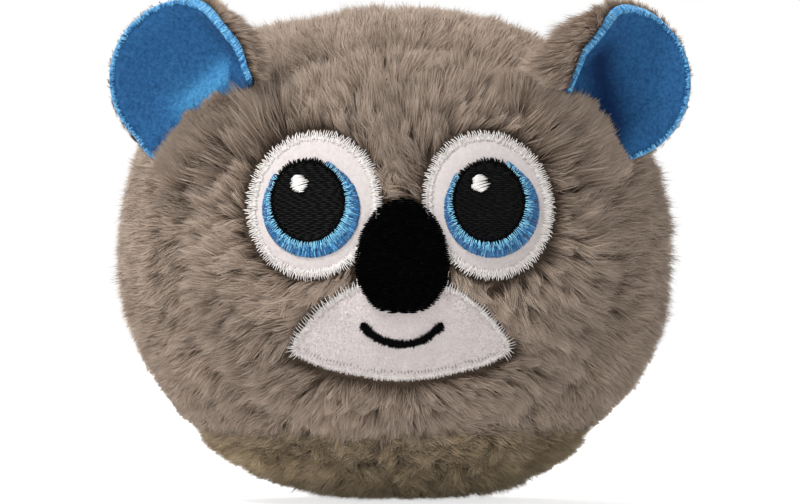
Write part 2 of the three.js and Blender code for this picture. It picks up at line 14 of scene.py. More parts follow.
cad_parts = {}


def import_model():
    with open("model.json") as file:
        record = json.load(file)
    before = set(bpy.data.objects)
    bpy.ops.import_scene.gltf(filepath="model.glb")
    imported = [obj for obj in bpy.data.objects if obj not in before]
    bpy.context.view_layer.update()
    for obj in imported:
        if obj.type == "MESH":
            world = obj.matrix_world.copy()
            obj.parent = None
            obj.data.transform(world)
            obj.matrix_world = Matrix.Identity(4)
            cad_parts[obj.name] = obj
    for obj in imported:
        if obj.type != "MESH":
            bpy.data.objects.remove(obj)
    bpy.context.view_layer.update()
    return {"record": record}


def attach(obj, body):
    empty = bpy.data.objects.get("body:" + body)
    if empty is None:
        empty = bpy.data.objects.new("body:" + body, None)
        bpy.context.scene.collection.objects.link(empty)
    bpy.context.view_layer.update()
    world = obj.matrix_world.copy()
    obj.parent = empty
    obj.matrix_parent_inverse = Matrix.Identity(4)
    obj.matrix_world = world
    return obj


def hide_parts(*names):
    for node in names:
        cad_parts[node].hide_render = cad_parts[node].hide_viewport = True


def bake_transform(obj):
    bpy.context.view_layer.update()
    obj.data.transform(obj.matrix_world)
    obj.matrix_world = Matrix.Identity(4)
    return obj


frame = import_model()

MM = 0.001
IMAGE_WIDTH = 800
IMAGE_HEIGHT = 504

# The ball, over its pile
HALF_SIZE = np.array([50.0, 46.0, 45.0])
ROUNDNESS = 2.2
CENTRE = np.array([0.0, 0.0, 44.5])
FACE_SEAM_Y = -28.0
BASE_SEAM_Z = 13.5

# Depths below the pile tips
PATCH_INSET = 3.2
THREAD_INSET = 2.4
NOSE_INSET = 1.6
DEPTHS = {
    "border": THREAD_INSET + 0.46,
    "teeth": THREAD_INSET + 0.15,
    "eye_velvet": THREAD_INSET + 0.41,
    "iris_ground": THREAD_INSET + 0.28,
    "pupil_ground": THREAD_INSET + 0.15,
    "pupil_fill": THREAD_INSET + 0.12,
    "pupil_edge": THREAD_INSET + 0.02,
    "glint": THREAD_INSET - 0.35,
    "mouth": THREAD_INSET - 0.2,
    "muzzle_velvet": PATCH_INSET - 0.1,
    "muzzle_pile": PATCH_INSET - 0.42,
    "muzzle_dots": PATCH_INSET - 0.86,
    "nose_ground": NOSE_INSET + 0.6,
    "nose_fill": NOSE_INSET + 0.4,
}


# Small helpers on arrays of points

def unit(vectors):
    return vectors / np.maximum(np.linalg.norm(vectors, axis=-1, keepdims=True), 1e-9)


def smooth(t):
    t = np.clip(t, 0, 1)
    return t * t * (3 - 2 * t)


def mix(a, b, t):
    return a + (b - a) * t


def bell(distance, width):
    """1 at no distance, falling off over the width."""
    return np.exp(-(distance / width) ** 2)


def lumps(points, size, seed):
    """Smooth noise from -1 to 1, with lumps of about the given size."""
    cells = 32
    table = np.random.default_rng(seed).uniform(-1, 1, (cells, cells, cells))
    scaled = points / size + 1000
    cell = np.floor(scaled).astype(int)
    part = smooth(scaled - cell)
    total = np.zeros(len(points))
    for corner in np.ndindex(2, 2, 2):
        weight = np.prod(np.where(corner, part, 1 - part), axis=1)
        index = (cell + corner) % cells
        total += weight * table[index[:, 0], index[:, 1], index[:, 2]]
    return total


def turn_about(vectors, axes, angles):
    """Each vector turned about its own unit axis."""
    c = np.cos(angles)[:, None]
    s = np.sin(angles)[:, None]
    along = np.sum(vectors * axes, axis=1, keepdims=True)
    return vectors * c + np.cross(axes, vectors) * s + axes * along * (1 - c)


def tangent_part(vectors, normals):
    return unit(vectors - normals * np.sum(vectors * normals, axis=1, keepdims=True))


# The ball's surface

def ball_normals(points, inset=0.0):
    half = HALF_SIZE - inset
    p = points - CENTRE
    across = np.hypot(p[..., 0] / half[0], p[..., 1] / half[1])
    pull = np.maximum(across, 1e-6) ** (ROUNDNESS - 2)
    gradient = np.stack([
        pull * p[..., 0] / half[0] ** 2,
        pull * p[..., 1] / half[1] ** 2,
        np.sign(p[..., 2]) * np.abs(p[..., 2]) ** (ROUNDNESS - 1) / half[2] ** ROUNDNESS,
    ], axis=-1)
    return unit(gradient)


def ball_points(directions, inset):
    """Where rays from the ball's middle leave it, at a depth below the pile tips."""
    inset = np.broadcast_to(np.asarray(inset, float), (len(directions),))
    half = HALF_SIZE[None, :] - inset[:, None]
    scaled = np.abs(directions) / half
    across = np.hypot(scaled[:, 0], scaled[:, 1])
    level = across ** ROUNDNESS + scaled[:, 2] ** ROUNDNESS
    return CENTRE + directions * (level ** (-1 / ROUNDNESS))[:, None]


def front_points(x, z, inset):
    """Where the face's front view place (x, z from the ball's middle) lies at a depth."""
    inset = np.broadcast_to(np.asarray(inset, float), np.shape(x))
    width, depth, height = (size - inset for size in HALF_SIZE)
    up = np.clip(1 - np.abs(z / height) ** ROUNDNESS, 0, 1) ** (2 / ROUNDNESS)
    y = depth * np.sqrt(np.clip(up - (x / width) ** 2, 0, 1))
    return np.stack([x, -y, z + CENTRE[2]], axis=-1)


# Outlines of the sewn face in the front view, from the middle of the ball

def ellipse(x, z, across, up, tilt=0.0, count=160):
    angle = np.linspace(0, 2 * math.pi, count, endpoint=False)
    turn = math.radians(tilt)
    a = across * np.cos(angle)
    b = up * np.sin(angle)
    return np.stack([
        x + a * math.cos(turn) - b * math.sin(turn),
        z + a * math.sin(turn) + b * math.cos(turn),
    ], axis=1)


def closed_curve(corners, count=240):
    """A smooth closed curve through a few points, counter-clockwise."""
    corners = np.array(corners, float)
    n = len(corners)
    per = count // n
    t = np.linspace(0, 1, per, endpoint=False)[:, None]
    parts = []
    for i in range(n):
        a, b, c, d = (corners[(i + k) % n] for k in (-1, 0, 1, 2))
        parts.append(0.5 * (
            2 * b + (c - a) * t + (2 * a - 5 * b + 4 * c - d) * t ** 2
            + (3 * b - a - 3 * c + d) * t ** 3
        ))
    return np.concatenate(parts)


def outline_normals(outline):
    along = unit(np.roll(outline, -1, axis=0) - np.roll(outline, 1, axis=0))
    return np.stack([along[:, 1], -along[:, 0]], axis=1)


def grown(outline, distance):
    return outline + outline_normals(outline) * distance


def walk(path, stops):
    """Places along a path, at the lengths that stops gives for the whole length."""
    length = np.concatenate([[0], np.cumsum(np.linalg.norm(np.diff(path, axis=0), axis=1))])
    at = stops(length[-1])
    return np.stack([np.interp(at, length, path[:, k]) for k in (0, 1)], axis=1)


def even_walk(outline, pitch):
    """Places at an even pitch along a closed outline, and the outward normals there."""
    ring = np.concatenate([outline, outline[:1]])
    places = walk(ring, lambda total: np.linspace(0, total, int(total / pitch), endpoint=False))
    return places, outline_normals(places)


def inside(outline, places):
    x, z = places[:, 0, None], places[:, 1, None]
    ax, az = outline[None, :, 0], outline[None, :, 1]
    bx, bz = np.roll(ax, -1, axis=1), np.roll(az, -1, axis=1)
    crosses = (az > z) != (bz > z)
    reach = ax + (z - az) * (bx - ax) / np.where(bz == az, 1e-9, bz - az)
    return np.sum(crosses & (x < reach), axis=1) % 2 == 1


def distance_to(outline, places):
    gaps = places[:, None, :] - outline[None, ::3, :]
    return np.sqrt(np.min(np.sum(gaps ** 2, axis=2), axis=1))


# Left and right as someone sees them who looks at the face
EYES = {"left": -1, "right": 1}
EYE_OFFSET = 15.8
EYE_HEIGHT = 7.9
# The patch's middle from the eye's, its half axes, and how far its top leans to the nose, in degrees
EYE_PATCH_SHIFT = (-0.5, 0.75)
EYE_PATCH_HALF = (11.3, 12.8)
EYE_PATCH_TILT = 14
IRIS_RADIUS = 8.5
PUPIL_HALF = (6.85, 7.5)
PUPIL_SHIFT = (-0.55, 1.4)
GLINT_SHIFT = (-1.6, 3.1)
GLINT_RADIUS = 1.5
GLINT_TILT = 0.3


def eye_patch_outline(side):
    x = side * (EYE_OFFSET + EYE_PATCH_SHIFT[0])
    return ellipse(x, EYE_HEIGHT + EYE_PATCH_SHIFT[1], *EYE_PATCH_HALF, side * EYE_PATCH_TILT)


def iris_outline(side):
    return ellipse(side * EYE_OFFSET, EYE_HEIGHT, IRIS_RADIUS, IRIS_RADIUS)


def pupil_centre(side):
    return np.array([side * EYE_OFFSET + PUPIL_SHIFT[0], EYE_HEIGHT + PUPIL_SHIFT[1]])


def pupil_outline(side):
    return ellipse(*pupil_centre(side), *PUPIL_HALF)


def mirrored(points):
    """Right half of a closed outline, from the lowest point up, made whole."""
    left = [(-x, z) for x, z in reversed(points) if x > 0]
    return closed_curve(list(points) + left)


NOSE_OUTLINE = mirrored([
    (0, -10.2), (4.75, -9.2), (7.6, -5.1), (8.2, -1.3), (7.05, 4.1), (4.1, 8.15), (0, 9.8),
])
MUZZLE_OUTLINE = mirrored([
    (0, -22.3), (7.0, -21.6), (15.5, -19.4), (19.4, -16.6), (16.9, -12.2), (12.8, -8.0),
    (7.9, -5.3), (0, -3.4),
])
EYE_PATCHES = {name: eye_patch_outline(side) for name, side in EYES.items()}
FACE_HOLES = [*EYE_PATCHES.values(), MUZZLE_OUTLINE, NOSE_OUTLINE]


# Materials, each from nodes

def new_material(name, roughness, specular, sheen=0.0):
    material = bpy.data.materials.new(name)
    material.use_nodes = True
    shader = material.node_tree.nodes["Principled BSDF"]
    shader.inputs["Roughness"].default_value = roughness
    shader.inputs["Specular IOR Level"].default_value = specular
    shader.inputs["Sheen Weight"].default_value = sheen
    shader.inputs["Sheen Roughness"].default_value = 0.5
    return material, material.node_tree, shader


def linear(colour):
    """A colour written as 0 to 255 on a screen, as the shader wants it."""
    parts = np.array(colour) / 255
    return (*np.where(parts < 0.04045, parts / 12.92, ((parts + 0.055) / 1.055) ** 2.4), 1.0)


def ramp(tree, source, stops):
    node = tree.nodes.new("ShaderNodeValToRGB")
    elements = node.color_ramp.elements
    while len(elements) < len(stops):
        elements.new(0.5)
    for element, (position, colour) in zip(elements, stops):
        element.position = position
        element.color = colour
    tree.links.new(source, node.inputs["Fac"])
    return node.outputs["Color"]


def shaded(tree, colour, source, dark, light):
    """A colour times dark where the source is 0, itself where that is 0.5, times light at 1."""
    factor = ramp(tree, source, [(0.0, (*dark, 1)), (0.5, (1, 1, 1, 1)), (1.0, (*light, 1))])
    node = tree.nodes.new("ShaderNodeMix")
    node.data_type = "RGBA"
    node.blend_type = "MULTIPLY"
    sockets = {socket.name: socket for socket in node.inputs if socket.enabled}
    sockets["Factor"].default_value = 1.0
    tree.links.new(colour, sockets["A"])
    tree.links.new(factor, sockets["B"])
    return next(socket for socket in node.outputs if socket.enabled)


def compute(tree, operation, *values, clamp=False):
    """A number worked out by a node from numbers and from other nodes' outputs."""
    node = tree.nodes.new("ShaderNodeMath")
    node.operation = operation
    node.use_clamp = clamp
    for socket, value in zip(node.inputs, values):
        if isinstance(value, bpy.types.NodeSocket):
            tree.links.new(value, socket)
        else:
            socket.default_value = value
    return node.outputs["Value"]


def noise(tree, scale, detail, roughness):
    place = tree.nodes.new("ShaderNodeTexCoord")
    node = tree.nodes.new("ShaderNodeTexNoise")
    node.inputs["Scale"].default_value = scale
    node.inputs["Detail"].default_value = detail
    node.inputs["Roughness"].default_value = roughness
    tree.links.new(place.outputs["Object"], node.inputs["Vector"])
    return node.outputs["Fac"]


def bump(tree, shader, height, strength, distance):
    node = tree.nodes.new("ShaderNodeBump")
    node.inputs["Strength"].default_value = strength
    node.inputs["Distance"].default_value = distance
    tree.links.new(height, node.inputs["Height"])
    tree.links.new(node.outputs["Normal"], shader.inputs["Normal"])


def strand_uv(tree):
    """The two numbers each strand carries: its tone, and how far along it a point is."""
    node = tree.nodes.new("ShaderNodeUVMap")
    node.uv_map = "OFBake"
    split = tree.nodes.new("ShaderNodeSeparateXYZ")
    tree.links.new(node.outputs["UV"], split.inputs["Vector"])
    return split.outputs["X"], split.outputs["Y"]


def strand_material(name, colours, dark, light, roughness=0.7, specular=0.2, sheen=0.0):
    """Pile in three colours from root to tip, times dark to light from strand to strand."""
    material, tree, shader = new_material(name, roughness, specular, sheen)
    tone, along = strand_uv(tree)
    colour = ramp(tree, along, list(zip((0.0, 0.45, 1.0), map(linear, colours))))
    tree.links.new(shaded(tree, colour, tone, dark, light), shader.inputs["Base Color"])
    return material


# The fur darkens towards its root: partly its own colour, partly painted shade down among the
# strands
FUR = strand_material("taupe_fur", ((72, 59, 48), (142, 124, 109), (186, 169, 154)),
                      (0.56, 0.54, 0.52), (1.36, 1.35, 1.34), sheen=0.04)
BASE_FUR = strand_material("base_fur", ((88, 74, 57), (160, 141, 114), (204, 186, 156)),
                           (0.6, 0.58, 0.54), (1.25, 1.22, 1.16), sheen=0.12)
WHITE_PILE = strand_material("white_pile", ((240, 231, 230), (248, 240, 239), (254, 249, 248)),
                             (0.95, 0.95, 0.95), (1.04, 1.04, 1.04), 0.85, 0.1)
# The fibres' darkest and lightest follow the felt's painted shade and painted light
BLUE_FUZZ = strand_material("blue_fuzz", ((28, 74, 122), (40, 90, 140), (62, 116, 166)),
                            (0.07, 0.17, 0.28), (1.8, 1.7, 1.5), 0.85, 0.1)


def thread_material(name, colours, roughness, specular, grain=0.0):
    """Lustrous thread in three colours from dark to light, broken up by a grain that is partly its
    twist's own tone and partly painted glints.
    """
    material, tree, shader = new_material(name, roughness, specular)
    tone, _ = strand_uv(tree)
    if grain:
        twist_and_glints = compute(tree, "MULTIPLY_ADD", noise(tree, 3800, 2.0, 0.7), grain, -0.5 * grain)
        tone = compute(tree, "ADD", tone, twist_and_glints, clamp=True)
    colour = ramp(tree, tone, list(zip((0.0, 0.5, 1.0), map(linear, colours))))
    tree.links.new(colour, shader.inputs["Base Color"])
    return material


WHITE_THREAD = thread_material(
    "white_satin", ((182, 174, 170), (212, 206, 202), (236, 232, 229)), 0.5, 0.3)
MUZZLE_THREAD = thread_material(
    "muzzle_satin", ((164, 154, 152), (214, 206, 203), (248, 245, 243)), 0.35, 0.5)
# The blue's lightest tone is partly the thread's own colour and partly painted highlight
BLUE_THREAD = thread_material(
    "blue_satin", ((6, 46, 94), (26, 112, 170), (150, 222, 250)), 0.32, 0.4, 1.0)
RIM_THREAD = thread_material(
    "rim_thread", ((22, 80, 130), (62, 142, 196), (150, 212, 244)), 0.45, 0.4, 1.5)
BLACK_THREAD = thread_material(
    "black_stitching", ((1, 1, 1), (4, 4, 4), (18, 18, 18)), 0.55, 0.08, 1.0)
BLACK_EDGE = thread_material("black_satin", ((0, 0, 0), (1, 1, 1), (5, 5, 5)), 0.6, 0.03)
NOSE_THREAD = thread_material("nose_stitching", ((0, 0, 0), (1, 1, 1), (4, 4, 4)), 0.7, 0.01, 0.8)


def cloth_material(name, dark, light, grain, strength, sheen=0.0, painted_shading=()):
    """A matt cloth with fine mottling and a fibrous surface.

    The last argument is painted shade and painted light: what its colour is multiplied by where it
    is painted darkest, and where lightest.
    """
    material, tree, shader = new_material(name, 0.9, 0.15, sheen)
    fine = noise(tree, grain, 6.0, 0.65)
    colour = ramp(tree, fine, [(0.32, linear(dark)), (0.68, linear(light))])
    if painted_shading:
        colour = shaded(tree, colour, strand_uv(tree)[0], *painted_shading)
    tree.links.new(colour, shader.inputs["Base Color"])
    bump(tree, shader, fine, strength, 0.0004)
    return material


BACKING = cloth_material("fur_backing", (60, 49, 40), (84, 71, 60), 900, 0.5)
WHITE_CLOTH = cloth_material("white_velvet", (230, 220, 219), (244, 235, 234), 1400, 0.4)
EYE_WHITE = cloth_material("eye_white", (190, 182, 180), (205, 197, 196), 1400, 0.4)
BLUE_GROUND = cloth_material("blue_ground", (6, 30, 62), (14, 56, 100), 1500, 0.5)
BLACK_CLOTH = cloth_material("black_ground", (2, 2, 2), (5, 5, 5), 1500, 0.6)
# Painted shade and painted light on the felt: what its colour is multiplied by where it is painted
# darkest and where lightest
FELT = cloth_material("blue_felt", (26, 72, 118), (48, 102, 152), 1500, 0.9, 0.05,
                      painted_shading=((0.05, 0.14, 0.25), (2.3, 2.15, 1.65)))


# Meshes from arrays

def make_mesh(name, points, loops, face_sizes, material, uv=None):
    """points in millimetres; loops the corner indices of all faces, one face after another."""
    mesh = bpy.data.meshes.new(name)
    mesh.vertices.add(len(points))
    mesh.vertices.foreach_set("co", (np.asarray(points) * MM).ravel().astype(np.float32))
    mesh.loops.add(len(loops))
    mesh.loops.foreach_set("vertex_index", np.asarray(loops, np.int32))
    mesh.polygons.add(len(face_sizes))
    starts = np.concatenate([[0], np.cumsum(face_sizes)[:-1]]).astype(np.int32)
    mesh.polygons.foreach_set("loop_start", starts)
    mesh.polygons.foreach_set("use_smooth", np.ones(len(face_sizes), bool))
    if uv is not None:
        layer = mesh.uv_layers.new(name="OFBake")
        layer.data.foreach_set("uv", uv[np.asarray(loops)].ravel().astype(np.float32))
    mesh.update(calc_edges=True)
    mesh.materials.append(material)
    item = bpy.data.objects.new(name, mesh)
    bpy.context.scene.collection.objects.link(item)
    return item


def grid_quads(rows, columns, wrap=False):
    """The corner indices of a grid's quads; wrap joins its last column to its first."""
    index = np.arange(rows * columns).reshape(rows, columns)
    if wrap:
        index = np.concatenate([index, index[:, :1]], axis=1)
    corners = [index[:-1, :-1], index[:-1, 1:], index[1:, 1:], index[1:, :-1]]
    return np.stack(corners, axis=-1).reshape(-1, 4)


def grid_mesh(name, grid, material, wrap=False, uv=None):
    """A sheet through a grid of points, rows by columns."""
    quads = grid_quads(*grid.shape[:2], wrap)
    sizes = np.full(len(quads), 4)
    return make_mesh(name, grid.reshape(-1, 3), quads.ravel(), sizes, material, uv)


def strand_mesh(name, points, faces, along, tones, material):
    """Many strands of one build; points is strands by points.

    faces are those of one strand, and along says how far along it each of its points is.
    """
    count, per_strand = points.shape[:2]
    pattern = np.concatenate(faces)
    loops = (np.arange(count)[:, None] * per_strand + pattern[None, :]).ravel()
    sizes = np.tile([len(face) for face in faces], count)
    uv = np.stack([np.repeat(tones, per_strand), np.tile(along, count)], axis=1)
    return make_mesh(name, points.reshape(-1, 3), loops, sizes, material, uv)


def dress(pieces, slot, *nodes, ear=None):
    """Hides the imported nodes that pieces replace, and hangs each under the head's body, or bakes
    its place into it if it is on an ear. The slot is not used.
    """
    for piece in pieces if isinstance(pieces, list) else [pieces]:
        if nodes:
            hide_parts(*nodes)
        if ear:
            ride_ear(piece)
        else:
            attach(piece, "head")


def thicken(item, thickness):
    """Gives a sheet a back, below its face."""
    modifier = item.modifiers.new("thickness", "SOLIDIFY")
    modifier.thickness = thickness * MM
    modifier.offset = -1


# Fur: tapered ribbons in clumps

# The most triangles in one piece of fur. A piece with more triangles than about this is
# thinned out when it is exported
TRIANGLES_PER_PIECE = 190000
# The least and the greatest tone of a strand or thread
TONES = (0.02, 0.98)


def random_tones(rng, middle, spread, count):
    """How dark or light each of some threads is, from 0 to 1."""
    return np.clip(rng.normal(middle, spread, count), *TONES)


def bend(roots, normals, combs, lengths, lift_root, lift_tip, segments):
    """Curves that leave the cloth at one angle, in degrees, and end at another."""
    s = np.linspace(0, 1, segments + 1)
    lift = np.radians(mix(lift_root[:, None], lift_tip[:, None], s[None, :] ** 0.7))
    middle = 0.5 * (lift[:, 1:] + lift[:, :-1])
    step = lengths[:, None] / segments
    start = np.zeros((len(roots), 1))
    rise = np.concatenate([start, np.cumsum(np.sin(middle) * step, axis=1)], axis=1)
    run = np.concatenate([start, np.cumsum(np.cos(middle) * step, axis=1)], axis=1)
    return roots[:, None] + rise[..., None] * normals[:, None] + run[..., None] * combs[:, None]


def grow(clumps, each, rng, segments):
    """Strands in clumps. Each has its own lie and draws in towards its clump's axis."""
    count = len(clumps["roots"])
    clumps = {key: v if np.ndim(v) else np.full(count, v) for key, v in clumps.items()}
    keys = ("roots", "normals", "combs", "lengths", "lift_root", "lift_tip")
    shared = [clumps[key] for key in keys]
    axes = bend(*shared, segments)
    owner = np.repeat(np.arange(count), each)
    total = len(owner)
    roots, normals, combs, lengths, lift_root, lift_tip = (values[owner] for values in shared)
    angle = rng.uniform(0, 2 * math.pi, total)
    radius = clumps["spread"][owner] * np.sqrt(rng.uniform(0, 1, total))
    sides = np.cross(normals, combs)
    offset = combs * (radius * np.cos(angle))[:, None] + sides * (radius * np.sin(angle))[:, None]
    stray = clumps["stray"][owner]
    own = bend(
        roots + offset, normals, turn_about(combs, normals, stray * rng.normal(0, 1, total)),
        lengths * rng.normal(1, 0.13, total), lift_root + 30 * stray * rng.normal(0, 1, total),
        lift_tip + 30 * stray * rng.normal(0, 1, total), segments,
    )
    s = np.linspace(0, 1, segments + 1)
    pull = clumps["draw_in"][owner] * rng.uniform(0.4, 1.2, total)
    weight = pull[:, None] * s[None, :] ** 1.2
    curves = own + weight[..., None] * (axes[owner] - own)
    facing = normals + rng.normal(0, 0.5, (total, 3))
    return {
        "curves": curves, "sideways": unit(np.cross(curves[:, -1] - curves[:, 0], facing)),
        "widths": clumps["width"][owner] * rng.uniform(0.7, 1.3, total),
        "tones": np.clip(clumps["tone"][owner] + rng.normal(0, 0.16, total), *TONES),
    }


def chosen(values, keep):
    """Some of the clumps or strands of a set."""
    return {key: value[keep] for key, value in values.items()}


def fur_pieces(name, strands, material):
    """Each strand is a flat ribbon along its curve, narrowing to a point."""
    curves, sideways, widths = (strands[key] for key in ("curves", "sideways", "widths"))
    rings = curves.shape[1]
    per_piece = TRIANGLES_PER_PIECE // (2 * rings - 3)
    along = np.linspace(0, 1, rings)
    taper = 1 - 0.7 * along ** 1.6
    faces = [[2 * k, 2 * k + 1, 2 * k + 3, 2 * k + 2] for k in range(rings - 2)]
    faces.append([2 * rings - 4, 2 * rings - 3, 2 * rings - 2])
    v = np.concatenate([np.repeat(along[:-1], 2), [1.0]])
    pieces = []
    for number, start in enumerate(range(0, len(curves), per_piece), 1):
        part = slice(start, start + per_piece)
        half = 0.5 * widths[part, None, None] * taper[None, :-1, None] * sideways[part, None, :]
        body = curves[part, :-1]
        pairs = np.stack([body - half, body + half], axis=2).reshape(len(body), -1, 3)
        points = np.concatenate([pairs, curves[part, -1:]], axis=1)
        tones = strands["tones"][part]
        pieces.append(strand_mesh(f"{name}_{number}", points, faces, v, tones, material))
    return pieces


def plant(name, clumps, rng, material, slot, each, segments, ear=None):
    """Fur grown from clumps, each so many strands, on the head or on an ear."""
    dress(fur_pieces(name, grow(clumps, each, rng, segments), material), slot, ear=ear)


# The plush cover

def even_directions(count, rng, jitter=0.35):
    """Directions spread evenly over the sphere, each moved a little."""
    i = np.arange(count) + 0.5
    z = 1 - 2 * i / count
    turn = i * math.pi * (3 - math.sqrt(5))
    flat = np.sqrt(1 - z * z)
    directions = np.stack([flat * np.cos(turn), flat * np.sin(turn), z], axis=1)
    spacing = math.sqrt(4 * math.pi / count)
    return unit(directions + rng.normal(0, jitter * spacing, (count, 3)))


# Over what width the pile of two panels blends at their seam
SEAM_BLEND = 3.0


def region_weights(points):
    """How far each point belongs to the face, the base and the back, blended at the seams."""
    base = smooth((BASE_SEAM_Z + SEAM_BLEND / 2 - points[:, 2]) / SEAM_BLEND)
    face = smooth((FACE_SEAM_Y + SEAM_BLEND / 2 - points[:, 1]) / SEAM_BLEND) * (1 - base)
    return face, base, 1 - face - base


# How deep the cloth lies below the pile tips
FACE_PILE_DEPTH = 4.2
BACK_PILE_DEPTH = 3.0
BASE_PILE_DEPTH = 2.3
# How much deeper it is drawn in at each seam, and over what half width
BASE_GROOVE = (0.9, 1.6)
FACE_GROOVE = (1.1, 1.8)
BACK_GROOVE = (0.9, 1.5)


def skin_points(directions):
    """The cloth under the pile, drawn in along the seams."""
    rough = ball_points(directions, 3.5)
    x, y, z = rough.T
    face, base, back = region_weights(rough)
    above_base = smooth((z - BASE_SEAM_Z) / 2)
    behind_face = smooth((y - FACE_SEAM_Y) / 2)
    inset = face * FACE_PILE_DEPTH + base * BASE_PILE_DEPTH + back * BACK_PILE_DEPTH
    inset += BASE_GROOVE[0] * bell(z - BASE_SEAM_Z, BASE_GROOVE[1])
    inset += FACE_GROOVE[0] * bell(y - FACE_SEAM_Y, FACE_GROOVE[1]) * above_base
    inset += BACK_GROOVE[0] * bell(x, BACK_GROOVE[1]) * above_base * behind_face
    # A dip on the top beside the left ear, one low on the left side, and slow swells all over
    inset += 1.2 * bell(x + 13, 6) * smooth((z - 76) / 10)
    inset += 0.9 * smooth((-x - 34) / 8) * bell(z - 25, 8)
    inset -= 0.7 * lumps(rough, 22.0, 11)
    return ball_points(directions, inset)


def face_places(points):
    """Front view coordinates from the ball's middle, and which points are on the front."""
    return points[:, (0, 2)] - CENTRE[[0, 2]], points[:, 1] < -12


# The pile parts round the patches: each one's outline and middle, how near to it and how strongly
PARTINGS = [
    *((EYE_PATCHES[name], (side * EYE_OFFSET, EYE_HEIGHT), 3.5, 1.1)
      for name, side in EYES.items()),
    (MUZZLE_OUTLINE, (0.0, -14.0), 3.0, 1.2),
]


def comb_directions(points, normals, rng):
    """Which way the pile lies."""
    face, base, back = region_weights(points)
    places, _ = face_places(points)
    x, z = (places - np.array([0.0, 1.0])).T
    outward = unit(np.stack([x, np.zeros(len(points)), z], axis=1))
    outward[:, 2] -= 0.3 * smooth(-z / 20 + 0.6) * np.abs(outward[:, 0])
    for outline, middle, reach, push in PARTINGS:
        near = push * bell(distance_to(outline, places), reach)
        outward[:, [0, 2]] += near[:, None] * unit(places - np.array(middle))

    rearward = smooth(points[:, 1] / 40 + 0.1)
    behind = np.stack([
        0.25 * points[:, 0] / HALF_SIZE[0], 1.0 - rearward, -0.35 - 0.9 * rearward,
    ], axis=1)
    under = np.stack([points[:, 0] / 50, points[:, 1] / 50, np.full(len(points), -0.25)], axis=1)
    flow = face[:, None] * unit(outward) + back[:, None] * behind + base[:, None] * under
    combs = tangent_part(flow, normals)
    wander = 0.6 * lumps(points, 13.0, 21) + 0.8 * lumps(points, 5.0, 22)
    wander += rng.normal(0, 0.3, len(points))
    wander += base * rng.normal(0, 0.9, len(points))
    return turn_about(combs, normals, wander)


def clear_of_face(strands):
    """Leaves out strands that are rooted in a sewn patch, or that would lie across one."""
    curves = strands["curves"]
    near = np.flatnonzero(curves[:, 0, 1] < -20)
    keep = np.ones(len(curves), bool)
    for outline in FACE_HOLES:
        coarse = outline[::4]
        # The root stays outside a patch, and what is above it may lean over its edge a little
        for ring, margin in ((0, 0.2), (2, -0.2), (-1, -0.45)):
            places, front = face_places(curves[near, ring])
            keep[near] &= ~(inside(grown(coarse, margin), places) & front)
    above_floor = curves[:, -1, 2] > 0.15
    return keep & above_floor


def ear_tree(name):
    """The ear's cloth as a search tree."""
    across, up = ear_grid(name, 30, 48)
    grid = ear_points(name, across, up, np.zeros_like(up))
    return BVHTree.FromPolygons(grid.reshape(-1, 3).tolist(), grid_quads(*up.shape).tolist())


def crossing(tree, curves):
    """Which of the curves pass through the cloth."""
    ways = np.diff(curves, axis=1)
    lengths = np.linalg.norm(ways, axis=2)
    return np.array([
        any(tree.ray_cast(*step)[0] is not None for step in zip(*curve))
        for curve in zip(curves.tolist(), ways.tolist(), lengths.tolist())
    ], bool)


def around_ears(strands):
    """Moves strands off the ears, and finds those to keep and those that lie against an ear."""
    curves = strands["curves"]
    keep = np.ones(len(curves), bool)
    leaning = {}
    for name in EYES:
        across, up, front = from_ear(name, curves)
        beside, height, away = np.abs(across[:, 0]), up[:, 0], np.abs(front[:, 0])
        near = (beside < EAR_RADIUS) & (height > -12) & (away < 10)
        in_root = near & (beside < 11) & (away < 0.9)
        keep &= ~in_root
        felt = 1.3 + np.where(up > -2, ear_dish(name, across, up), 0)
        clear = np.where(front[:, :1] > 0, np.maximum(front, felt), np.minimum(front, -1.4))
        s = np.linspace(0, 1, curves.shape[1])
        push = (clear - front) * np.where(near, 1.0, 0.0)[:, None] * np.minimum(1, 4 * s)
        curves += push[..., None] * FRONT
        leaning[name] = near & (up.max(axis=1) > -0.8) & (np.abs(front).min(axis=1) < 4.5)
        close = np.flatnonzero((beside < 19) & (height > -14) & (away < 14))
        keep[close[crossing(ear_tree(name), curves[close])]] = False
    return keep, leaning


CLUMPS = 11000
# The pile on the face, the backs and the base: its length and width, its lift in degrees at the
# root and at the tip, how much its clumps draw in, and how far its strands stray
PILE = {
    "length": (6.8, 4.2, 3.2), "width": (0.115, 0.13, 0.1),
    "lift_root": (66, 74, 70), "lift_tip": (20, 36, 30),
    "draw_in": (0.6, 0.16, 0.25), "stray": (0.24, 0.22, 0.5),
}


